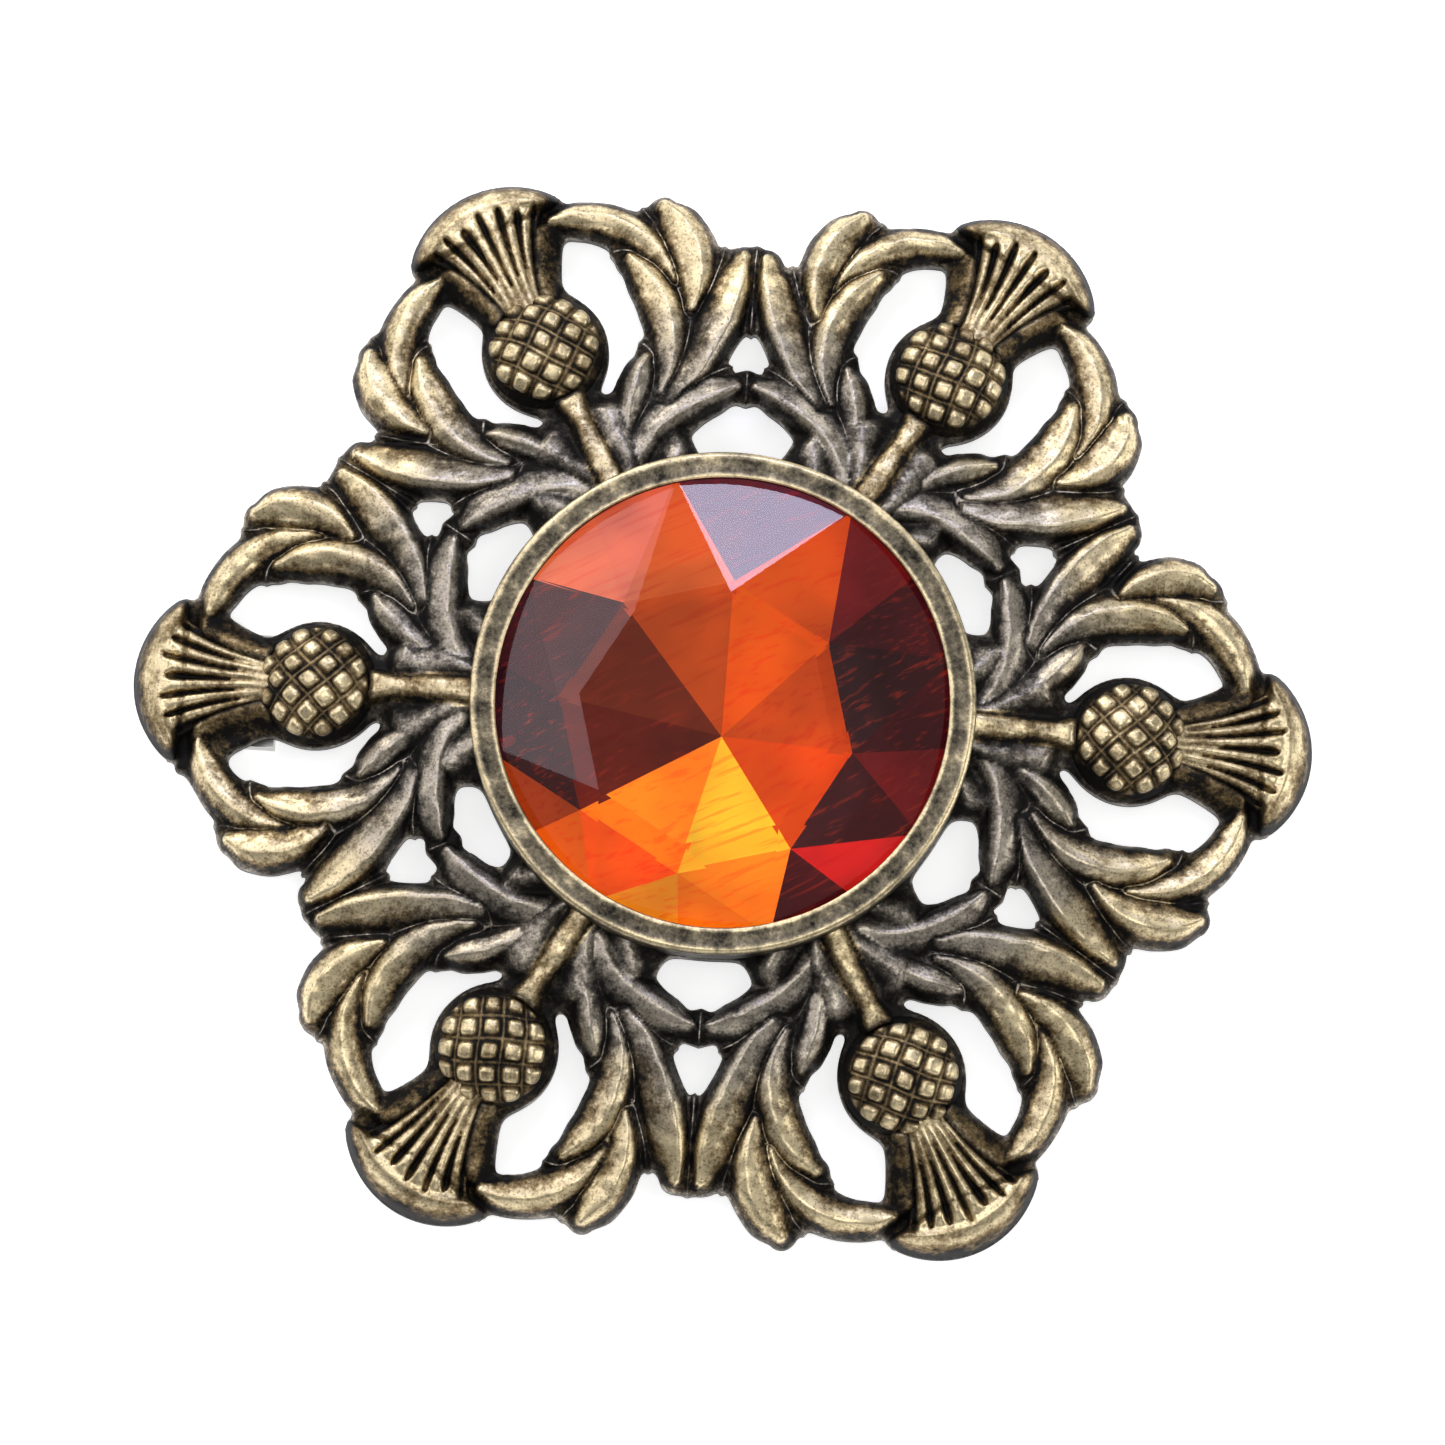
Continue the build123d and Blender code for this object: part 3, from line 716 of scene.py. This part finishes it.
def put_mesh(name, points, faces, *masks, smooth=True):
    """A mesh object at the origin from points in millimetres and faces by corner count. Up to four
    masks become the attributes wear, tone, seam and line."""
    mesh = bpy.data.meshes.new(name)
    sizes = np.concatenate([np.full(len(face), face.shape[1]) for face in faces])
    loops = np.concatenate([face.ravel() for face in faces])
    mesh.vertices.add(len(points))
    mesh.vertices.foreach_set("co", (points * MM).astype(np.float32).ravel())
    mesh.loops.add(len(loops))
    mesh.loops.foreach_set("vertex_index", loops.astype(np.int32))
    mesh.polygons.add(len(sizes))
    mesh.polygons.foreach_set("loop_start", (np.cumsum(sizes) - sizes).astype(np.int32))
    mesh.polygons.foreach_set("use_smooth", np.full(len(sizes), smooth))
    mesh.update(calc_edges=True)
    if mesh.validate(verbose=False):
        raise RuntimeError(name + " has faces that don't fit together")
    for label, values in zip(("wear", "tone", "seam", "line"), masks):
        layer = mesh.attributes.new(label, "FLOAT", "POINT")
        layer.data.foreach_set("value", values.astype(np.float32))
    piece = bpy.data.objects.new(name, mesh)
    bpy.context.scene.collection.objects.link(piece)
    return piece


def dress(piece, node, material):
    """Gives a piece its material, lets it ride on the brooch and stand for its CAD node."""
    piece.data.materials.append(material)
    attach(piece, "root")
    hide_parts(node)


class NodePad:
    """Adds nodes to a tree and links them in one call each."""

    def __init__(self, tree):
        self.tree = tree

    def add(self, kind, inputs=None, **settings):
        """A node with its settings, and its inputs set to values or linked to outputs."""
        node = self.tree.nodes.new(kind)
        for key, value in settings.items():
            setattr(node, key, value)
        for key, value in (inputs or {}).items():
            socket = node.inputs[key]
            if isinstance(value, bpy.types.NodeSocket):
                self.tree.links.new(value, socket)
            else:
                socket.default_value = value
        return node

    def mask(self, value, low, high, to_low=0.0, to_high=1.0):
        """A smooth step of a value between two limits."""
        node = self.add(
            "ShaderNodeMapRange",
            {"Value": value, "From Min": low, "From Max": high, "To Min": to_low, "To Max": to_high},
            interpolation_type="SMOOTHSTEP")
        return node.outputs["Result"]

    def mix(self, factor, one, other, blend_type="MIX"):
        """A mix of two colours, whose inputs are the mix node's seventh and eighth."""
        return self.add(
            "ShaderNodeMix", {0: factor, 6: one, 7: other},
            data_type="RGBA", blend_type=blend_type).outputs[2]

    def maths(self, operation, one, other):
        """One sum of two values."""
        return self.add("ShaderNodeMath", {0: one, 1: other}, operation=operation).outputs[0]

    def about(self, value, amount):
        """A noise value less its mean of a half, times an amount."""
        return self.maths("MULTIPLY", self.maths("SUBTRACT", value, 0.5), amount)

    def spot(self):
        """The place on the piece, in its own coordinates."""
        return self.add("ShaderNodeTexCoord").outputs["Object"]

    def noise(self, scale, detail=3.0, rough=0.5, vector=None):
        """Noise in the piece's own coordinates."""
        node = self.add("ShaderNodeTexNoise", {
            "Vector": vector or self.spot(), "Scale": scale, "Detail": detail, "Roughness": rough})
        return node.outputs["Fac"]

    def read(self, label, output="Fac"):
        """One of the piece's own attributes."""
        node = self.add("ShaderNodeAttribute", attribute_name=label, attribute_type="GEOMETRY")
        return node.outputs[output]

    def surface(self, inputs):
        """The material's shader, with its inputs."""
        shader = self.add("ShaderNodeBsdfPrincipled", inputs)
        self.add("ShaderNodeOutputMaterial", {"Surface": shader.outputs["BSDF"]})


def new_material(name):
    """An empty material, and a pad that adds its nodes."""
    material = bpy.data.materials.new(name)
    material.use_nodes = True
    material.node_tree.nodes.clear()
    return material, NodePad(material.node_tree)


def patina_group():
    """Antique metal: dark in the recesses, rubbed bright on the crests, with speckle and blotches.
    Wear runs from nought in a recess to one on a crest; the three colours meet along it. Specks on
    the rubbed parts also get a painted glint: a pale highlight put into the colour."""
    name = "antique patina"
    if name in bpy.data.node_groups:
        return bpy.data.node_groups[name]
    tree = bpy.data.node_groups.new(name, "ShaderNodeTree")
    face = tree.interface
    for label, kind, value in (
            ("Wear", "NodeSocketFloat", 0.5),
            ("Recess", "NodeSocketColor", (0.02, 0.015, 0.01, 1)),
            ("Body", "NodeSocketColor", (0.2, 0.16, 0.1, 1)),
            ("Rubbed", "NodeSocketColor", (0.7, 0.6, 0.35, 1)),
            ("Speckle", "NodeSocketFloat", 0.5),
            ("Polish", "NodeSocketFloat", 0.5),
            ("Mottle", "NodeSocketFloat", 1.0)):
        face.new_socket(label, in_out="INPUT", socket_type=kind).default_value = value
    for label, kind in (
            ("Color", "NodeSocketColor"), ("Roughness", "NodeSocketFloat"),
            ("Metallic", "NodeSocketFloat"), ("Height", "NodeSocketFloat")):
        face.new_socket(label, in_out="OUTPUT", socket_type=kind)
    pad = NodePad(tree)
    given = pad.add("NodeGroupInput").outputs
    spot = pad.spot()
    blotch = pad.noise(620.0, 4.0, 0.62, spot)
    grain = pad.noise(3400.0, 3.0, 0.65, spot)
    speck = pad.noise(7000.0, 2.0, 0.6, spot)
    shift = pad.maths("ADD", pad.about(blotch, 1.5), pad.about(grain, 0.85))
    shift = pad.maths("MULTIPLY", shift, pad.mask(given["Wear"], 0.0, 0.25, 0.25, 1.0))
    shift = pad.maths("MULTIPLY", shift, given["Mottle"])
    wear = pad.maths("ADD", given["Wear"], shift)
    body = pad.mix(pad.mask(wear, 0.12, 0.55), given["Recess"], given["Body"])
    colour = pad.mix(pad.mask(wear, 0.45, 0.98), body, given["Rubbed"])
    dirt = pad.maths("MULTIPLY", pad.mask(speck, 0.47, 0.34), given["Speckle"])
    colour = pad.mix(dirt, colour, given["Recess"])
    # Painted glint: specks on rubbed parts are lightened toward a pale highlight colour, scaled by the
    # mottle amount.
    painted_glint = pad.maths("MULTIPLY", pad.mask(speck, 0.54, 0.66), pad.mask(wear, 0.3, 0.8, 0.0, 0.22))
    painted_glint = pad.maths("MULTIPLY", painted_glint, given["Mottle"])
    colour = pad.mix(painted_glint, colour, (0.90, 0.84, 0.68, 1))
    rough = pad.mask(wear, 0.1, 0.9, 0.58, 0.36)
    rough = pad.maths("SUBTRACT", rough, pad.maths("MULTIPLY", given["Polish"], 0.10))
    rough = pad.maths("ADD", rough, pad.maths("MULTIPLY", grain, 0.16))
    metal = pad.mask(wear, 0.05, 0.5, 0.85, 1.0)
    height = pad.maths("ADD", pad.maths("MULTIPLY", grain, 0.7), pad.maths("MULTIPLY", speck, 0.3))
    pad.add("NodeGroupOutput", {
        "Color": colour, "Roughness": rough, "Metallic": metal, "Height": height})
    return tree


def antique_metal(name, finish, body, speckle, polish, mottle_and_glint, toned=False):
    """A material of the patina group, driven by a piece's own wear attribute. Where toned, its
    tone attribute takes the colours from dark silvery grey to yellow brass, and its seam and line
    attributes rub a thin broken line bright between two leaves."""
    material, pad = new_material(name)
    wear = pad.read("wear")
    rubbed, body = tuple(finish.rubbed), tuple(body)
    if toned:
        tone = pad.maths("ADD", pad.read("tone"), pad.about(pad.noise(260.0), 1.1))
        tone = pad.mask(tone, 0.1, 0.9)
        rubbed = pad.mix(tone, tuple(finish.rubbed_inner), rubbed)
        body = pad.mix(tone, tuple(finish.body_inner), body)
        thin = pad.mask(pad.maths("ABSOLUTE", pad.read("seam"), 0.0), 0.10, 0.03)
        thin = pad.maths("MULTIPLY", thin, pad.mask(pad.noise(900.0), 0.38, 0.55, 0.12, 0.62))
        wear = pad.maths("ADD", wear, pad.maths("MULTIPLY", thin, pad.read("line")))
    group = pad.add("ShaderNodeGroup", {
        "Wear": wear, "Recess": tuple(finish.recess), "Body": body, "Rubbed": rubbed,
        "Speckle": speckle, "Polish": polish, "Mottle": mottle_and_glint}, node_tree=patina_group()).outputs
    bump = pad.add("ShaderNodeBump", {
        "Strength": 0.40, "Distance": 0.05 * MM, "Height": group["Height"]})
    pad.surface({
        "Base Color": group["Color"], "Roughness": group["Roughness"],
        "Metallic": group["Metallic"], "Normal": bump.outputs["Normal"]})
    return material


def clear_glass():
    """Polished clear glass for the stone's upper facets, with the faintest wiping marks."""
    material, pad = new_material("polished glass")
    haze = pad.mask(pad.noise(900.0, 4.0, 0.6), 0.45, 0.75, 0.0, 0.035)
    warm = pad.mask(pad.noise(160.0, 2.0), 0.35, 0.65)
    tint = pad.mix(warm, (1.0, 0.97, 0.95, 1), (1.0, 1.0, 1.0, 1))
    pad.surface({"Base Color": tint, "Roughness": haze, "IOR": 1.58, "Transmission Weight": 1.0})
    return material


def foil_tint_and_reflection(finish):
    """The stone's back: a bright backing whose tint the facets carry, with fine streaks. Each
    facet's tint holds a painted reflection, light or dark, and the backing glows with painted light.
    """
    material, pad = new_material("backing tint and painted reflection")
    # Each facet's tint: the backing's colour with a painted reflection in it.
    tint = pad.read("tint", "Color")
    spot = pad.spot()
    turned = pad.add(
        "ShaderNodeMapping", {"Vector": spot, "Rotation": (0, 0, 0.49), "Scale": (30, 1, 1)},
        vector_type="TEXTURE").outputs["Vector"]
    streak = pad.mask(pad.noise(2600.0, 3.0, 0.6, turned), 0.52, 0.66)
    cloud = pad.mask(pad.noise(180.0, 2.0, 0.5, spot), 0.3, 0.7, 0.75, 1.15)
    deep = pad.mix(1.0, tint, (0.85, 0.40, 0.35, 1), "MULTIPLY")
    colour = pad.mix(pad.maths("MULTIPLY", streak, 0.5), tint, deep)
    light = pad.mask(pad.noise(3300.0, 4.0, 0.6, turned), 0.53, 0.70, 0.0, 0.6)
    colour = pad.mix(light, colour, (0.28, 0.022, 0.006, 1), "LIGHTEN")
    colour = pad.mix(1.0, colour, cloud, "MULTIPLY")
    # Painted glow: the backing gives off light in its own colour though it is no lamp.
    pad.surface({
        "Base Color": colour, "Metallic": 0.75, "Roughness": 0.28,
        "Emission Color": colour, "Emission Strength": finish.foil_painted_glow})
    return material


def pin_steel():
    """Plated steel with fine drawing marks along the pin."""
    material, pad = new_material("plated steel")
    drawn = pad.add("ShaderNodeMapping", {"Vector": pad.spot(), "Scale": (0.05, 1, 1)})
    marks = pad.noise(5000.0, 3.0, 0.6, drawn.outputs["Vector"])
    colour = pad.mix(pad.mask(marks, 0.3, 0.7), (0.44, 0.43, 0.41, 1), (0.60, 0.59, 0.56, 1))
    rough = pad.mask(marks, 0.3, 0.7, 0.45, 0.28)
    bump = pad.add("ShaderNodeBump", {"Strength": 0.3, "Distance": 0.02 * MM, "Height": marks})
    pad.surface({
        "Base Color": colour, "Roughness": rough, "Metallic": 1.0,
        "Normal": bump.outputs["Normal"]})
    return material


class BroochSizes(bpy.types.PropertyGroup):
    """Sizes of the cast relief and the stone."""

    grid_pitch: bpy.props.FloatProperty(
        name="Grid pitch", description="Spacing of the relief's grid",
        default=0.145 * MM, unit="LENGTH")
    leaf_width: bpy.props.FloatProperty(
        name="Leaf width", description="Width of the whole leaf that the table's shares are of",
        default=2.42 * MM, unit="LENGTH")
    leaf_height: bpy.props.FloatProperty(
        name="Leaf height", description="Height of the highest leaf over the plate",
        default=1.15 * MM, unit="LENGTH")
    flange_width: bpy.props.FloatProperty(
        name="Flange width", description="Width of the plate's edge round the leaves",
        default=0.18 * MM, unit="LENGTH")
    stem_width: bpy.props.FloatProperty(
        name="Stem width", description="Width of a thistle's stem", default=1.4 * MM, unit="LENGTH")
    lattice_pitch: bpy.props.FloatProperty(
        name="Lattice pitch", description="Spacing of the studs on a ball",
        default=1.3 * MM, unit="LENGTH")
    lattice_depth: bpy.props.FloatProperty(
        name="Lattice depth", description="Height of the studs on a ball",
        default=0.35 * MM, unit="LENGTH")
    tuft_height: bpy.props.FloatProperty(
        name="Tuft height", description="Height of a tuft's crest over the plate",
        default=1.7 * MM, unit="LENGTH")
    flute_count: bpy.props.IntProperty(
        name="Flutes", description="Number of flutes in a tuft", default=7, min=3)
    table_diameter: bpy.props.FloatProperty(
        name="Table diameter", description="Width of the stone's table across its corners",
        default=14.0 * MM, unit="LENGTH")
    break_diameter: bpy.props.FloatProperty(
        name="Back polygon", description="Width of the polygon where the back's facets change",
        default=15.2 * MM, unit="LENGTH")
    cut_shift: bpy.props.FloatVectorProperty(
        name="Middle of the cut", description="How far the table and the back's polygon lie off the axis",
        size=2, default=(-0.8 * MM, -1.1 * MM), unit="LENGTH")
    culet_shift: bpy.props.FloatVectorProperty(
        name="Culet", description="How far the culet lies off the axis",
        size=2, default=(0.05 * MM, -1.5 * MM), unit="LENGTH")


class BroochFinishes(bpy.types.PropertyGroup):
    """Colours of the patina, the setting and the stone's backing, and the backing's painted glow."""

    recess: bpy.props.FloatVectorProperty(
        name="Recess", description="Dark patina in the recesses", subtype="COLOR", size=4,
        default=(0.012, 0.011, 0.010, 1))
    body: bpy.props.FloatVectorProperty(
        name="Brass", description="Brass between recess and crest", subtype="COLOR", size=4,
        default=(0.23, 0.162, 0.078, 1))
    rubbed: bpy.props.FloatVectorProperty(
        name="Rubbed brass", description="Brass rubbed bright on the crests", subtype="COLOR",
        size=4, default=(0.84, 0.70, 0.43, 1))
    body_inner: bpy.props.FloatVectorProperty(
        name="Inner metal", description="Greyer metal near the setting", subtype="COLOR", size=4,
        default=(0.10, 0.088, 0.074, 1))
    rubbed_inner: bpy.props.FloatVectorProperty(
        name="Inner crests", description="Silvery crests near the setting", subtype="COLOR", size=4,
        default=(0.45, 0.40, 0.33, 1))
    setting: bpy.props.FloatVectorProperty(
        name="Setting", description="Satin brass of the setting's rim", subtype="COLOR", size=4,
        default=(0.20, 0.170, 0.115, 1))
    # Strength of the backing's painted glow.
    foil_painted_glow: bpy.props.FloatProperty(
        name="Backing glow", description="Light that the backing adds of its own", default=0.42,
        min=0, max=1)


# Tints of the stone's backing, one for each facet round from the corner nearest to +X. Each
# holds the backing's colour and a painted reflection: the facet's brightness, from near black to
# bright yellow, stands in for what it reflects. A corner facet has two, one for each half.
CULET_TINT_AND_REFLECTION = (
    (0.70, 0.075, 0.003), (1.00, 0.125, 0.004), (0.58, 0.075, 0.006), (0.16, 0.018, 0.002),
    (0.13, 0.012, 0.003), (1.00, 0.27, 0.006), (1.00, 0.66, 0.030), (0.90, 0.090, 0.003),
)
CORNER_TINT_AND_REFLECTION = (
    (0.16, 0.006, 0.008), (0.05, 0.003, 0.006), (0.06, 0.005, 0.010), (0.20, 0.010, 0.014),
    (0.10, 0.03, 0.06), (0.12, 0.03, 0.05), (0.80, 0.20, 0.10), (0.88, 0.22, 0.10),
    (0.06, 0.014, 0.020), (0.03, 0.010, 0.018), (0.40, 0.06, 0.008), (0.95, 0.16, 0.008),
    (1.00, 0.42, 0.020), (1.00, 0.26, 0.008), (0.06, 0.004, 0.008), (0.60, 0.016, 0.016),
)
EDGE_TINT_AND_REFLECTION = (
    (0.025, 0.002, 0.004), (0.85, 0.10, 0.006), (0.78, 0.13, 0.025), (0.06, 0.012, 0.014),
    (0.030, 0.008, 0.010), (0.85, 0.12, 0.006), (1.00, 0.30, 0.010), (0.04, 0.003, 0.005),
)

WHITE = (1.0, 0.98, 0.95)

# Studio lights over the brooch: name, place and width in metres, power in watts, and colour.
LIGHTS = (
    ("overhead", (0.02, -0.10, 0.80), 0.22, 0.80, (1.0, 0.99, 0.97)),
    ("side", (0.18, 0.05, 0.78), 0.20, 0.45, (1.0, 0.98, 0.96)),
    ("key", (-0.46, 0.24, 0.72), 0.72, 2.1, (0.96, 0.93, 1.0)),
    ("back", (0.04, 0.49, 0.58), 0.22, 1.35, (0.70, 0.74, 1.0)),
    ("upper left", (-0.42, 0.70, 0.34), 0.34, 2.2, WHITE),
    ("upper right", (0.40, 0.72, 0.34), 0.30, 0.8, WHITE),
    ("left", (-0.80, 0.05, 0.30), 0.34, 0.75, WHITE),
    ("right", (0.80, -0.10, 0.32), 0.34, 1.3, WHITE),
    ("low", (0.10, -0.72, 0.30), 0.30, 0.40, WHITE),
)

# The camera, in metres and degrees: the height of its aim, how far it is moved down the picture
# from there, and its distance. The photo is 1445 pixels wide. The brooch's width takes up 1199 of
# them in the plane that lies nearer to the camera than the aim by the front gap.
FRAME_PIXELS = 1445
BROOCH_PIXELS = 1199
FRONT_GAP = 0.004
CAMERA_AIM = 0.004
CAMERA_LOW = 0.00056
CAMERA_REACH = 0.45
CAMERA_TURN = 4.0
CAMERA_TILT = 7.5
SENSOR_WIDTH = 36.0


def pale_floor():
    """A square sheet of pale paper that shines faintly, so that it comes out nearly white."""
    half = 1500.0
    corners = half * np.array([[-1.0, -1, 0], [1, -1, 0], [1, 1, 0], [-1, 1, 0]])
    floor = put_mesh("floor", corners, [np.array([[0, 1, 2, 3]])], smooth=False)
    paper, pad = new_material("pale paper")
    shade = pad.mix(pad.noise(40.0), (0.90, 0.90, 0.90, 1), (0.93, 0.93, 0.93, 1))
    pad.surface({
        "Base Color": shade, "Roughness": 0.9,
        "Emission Color": (1.0, 1.0, 1.0, 1), "Emission Strength": 0.72})
    floor.data.materials.append(paper)


def studio_light(scene, name, place, size, power, colour):
    """A square light that faces the brooch."""
    light = bpy.data.lights.new(name, "AREA")
    light.size = size
    light.energy = power
    light.color = colour
    lamp = bpy.data.objects.new(name, light)
    lamp.location = place
    toward = Vector((0, 0, CAMERA_AIM)) - Vector(place)
    lamp.rotation_euler = toward.to_track_quat("-Z", "Y").to_euler()
    scene.collection.objects.link(lamp)


def photo_camera(scene):
    """The camera at the photo's angle: turned about Z, and tilted from the -Y side."""
    turn, tilt = math.radians(CAMERA_TURN), math.radians(CAMERA_TILT)
    right = Vector((math.cos(turn), math.sin(turn), 0))
    level = Vector((-math.sin(turn), math.cos(turn), 0))
    away = (Vector((0, 0, math.cos(tilt))) - level * math.sin(tilt)).normalized()
    lens = bpy.data.cameras.new("camera")
    lens.sensor_width = SENSOR_WIDTH
    view_width = 2 * BROOCH_RADIUS * MM * FRAME_PIXELS / BROOCH_PIXELS
    lens.lens = SENSOR_WIDTH * (CAMERA_REACH - FRONT_GAP) / view_width
    lens.clip_start = 0.01
    camera = bpy.data.objects.new("camera", lens)
    place = Vector((0, 0, CAMERA_AIM)) - level * CAMERA_LOW + away * CAMERA_REACH
    axes = Matrix((right, away.cross(right), away)).transposed().to_4x4()
    camera.matrix_world = Matrix.Translation(place) @ axes
    scene.collection.objects.link(camera)
    scene.camera = camera


class BROOCH_OT_leafwork(bpy.types.Operator):
    """Make the leaves, stems and pierced plate as one cast relief"""

    bl_idname = "brooch.leafwork"
    bl_label = "Leafwork"

    def execute(self, context):
        sizes, finish = context.scene.brooch_sizes, context.scene.brooch_finishes
        piece = put_mesh("leafwork", *leafwork_shell(sizes))
        material = antique_metal(
            "antique leafwork", finish, finish.body, speckle=0.5, polish=0.5, mottle_and_glint=1.0, toned=True)
        dress(piece, "openwork_frame", material)
        return {"FINISHED"}


class BROOCH_OT_thistles(bpy.types.Operator):
    """Make the thistles' studded balls and their fluted tufts with caps"""

    bl_idname = "brooch.thistles"
    bl_label = "Thistle heads"

    def execute(self, context):
        sizes, finish = context.scene.brooch_sizes, context.scene.brooch_finishes
        balls = put_mesh("thistle_balls", *thistle_balls_shell(sizes))
        studs = antique_metal(
            "antique studs", finish, finish.body, speckle=0.4, polish=0.6, mottle_and_glint=0.7)
        dress(balls, "openwork_frame", studs)
        tufts = put_mesh("thistle_tufts", *thistle_tufts_shell(sizes))
        brush = antique_metal(
            "antique tufts", finish, finish.body, speckle=0.45, polish=0.5, mottle_and_glint=0.9)
        dress(tufts, "openwork_frame", brush)
        return {"FINISHED"}


class BROOCH_OT_setting(bpy.types.Operator):
    """Make the setting's rim and cup"""

    bl_idname = "brooch.setting"
    bl_label = "Setting"

    def execute(self, context):
        finish = context.scene.brooch_finishes
        piece = put_mesh("setting", *setting_shell())
        material = antique_metal(
            "satin setting", finish, finish.setting, speckle=0.35, polish=0.7, mottle_and_glint=0.75)
        dress(piece, "bezel_cup", material)
        return {"FINISHED"}


class BROOCH_OT_stone(bpy.types.Operator):
    """Make the cut stone, clear above and backed below with coloured facets that hold painted reflections
    """

    bl_idname = "brooch.stone"
    bl_label = "Stone"

    def execute(self, context):
        sizes, finish = context.scene.brooch_sizes, context.scene.brooch_finishes
        points, faces = stone_shell(sizes)
        piece = put_mesh("cut_stone", points, faces, smooth=False)
        dress(piece, "stone", clear_glass())
        piece.data.materials.append(foil_tint_and_reflection(finish))
        counts = [len(face) for face in faces]
        backing = np.repeat([0, 0, 0, 0, 1, 1, 1, 1], counts)
        piece.data.polygons.foreach_set("material_index", backing.astype(np.int32))
        white = np.ones((sum(counts[:4]), 3))
        # The clear facets stay white; the back's facets take their tints with painted reflections.
        tints_and_reflections = np.concatenate(
            (white, CORNER_TINT_AND_REFLECTION[0::2], CORNER_TINT_AND_REFLECTION[1::2], EDGE_TINT_AND_REFLECTION, CULET_TINT_AND_REFLECTION))
        tints_and_reflections = np.pad(tints_and_reflections, ((0, 0), (0, 1)), constant_values=1.0).astype(np.float32)
        layer = piece.data.attributes.new("tint", "FLOAT_COLOR", "FACE")
        layer.data.foreach_set("color", tints_and_reflections.ravel())
        return {"FINISHED"}


class BROOCH_OT_pin(bpy.types.Operator):
    """Give the pin on the back its plated steel"""

    bl_idname = "brooch.pin"
    bl_label = "Pin"

    def execute(self, context):
        steel = pin_steel()
        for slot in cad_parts["brooch_pin"].material_slots:
            slot.material = steel
        return {"FINISHED"}


class BROOCH_OT_stage(bpy.types.Operator):
    """Set the floor, the studio lights, the world and the camera"""

    bl_idname = "brooch.stage"
    bl_label = "Stage"

    def execute(self, context):
        scene = context.scene
        pale_floor()
        world = bpy.data.worlds.new("studio")
        world.use_nodes = True
        back = world.node_tree.nodes["Background"]
        back.inputs["Color"].default_value = (1.0, 1.0, 1.0, 1)
        back.inputs["Strength"].default_value = 0.22
        scene.world = world
        for row in LIGHTS:
            studio_light(scene, *row)
        photo_camera(scene)
        scene.view_settings.view_transform = "Standard"
        return {"FINISHED"}


class BROOCH_PT_panel(bpy.types.Panel):
    """The brooch's sizes, colours and pieces"""

    bl_idname = "BROOCH_PT_panel"
    bl_label = "Thistle brooch"
    bl_space_type = "VIEW_3D"
    bl_region_type = "UI"
    bl_category = "Brooch"

    def draw(self, context):
        for group in (context.scene.brooch_sizes, context.scene.brooch_finishes):
            box = self.layout.box()
            for key in group.__annotations__:
                box.prop(group, key)
        for piece in PIECES:
            self.layout.operator(piece.bl_idname)


PIECES = (
    BROOCH_OT_leafwork,
    BROOCH_OT_thistles,
    BROOCH_OT_setting,
    BROOCH_OT_stone,
    BROOCH_OT_pin,
    BROOCH_OT_stage,
)
CLASSES = (BroochSizes, BroochFinishes) + PIECES + (BROOCH_PT_panel,)


def register():
    for item in CLASSES:
        bpy.utils.register_class(item)
    bpy.types.Scene.brooch_sizes = bpy.props.PointerProperty(type=BroochSizes)
    bpy.types.Scene.brooch_finishes = bpy.props.PointerProperty(type=BroochFinishes)


def unregister():
    del bpy.types.Scene.brooch_finishes
    del bpy.types.Scene.brooch_sizes
    for item in reversed(CLASSES):
        bpy.utils.unregister_class(item)


def main():
    register()
    for name in ("leafwork", "thistles", "setting", "stone", "pin", "stage"):
        getattr(bpy.ops.brooch, name)()


if __name__ == "__main__":
    main()
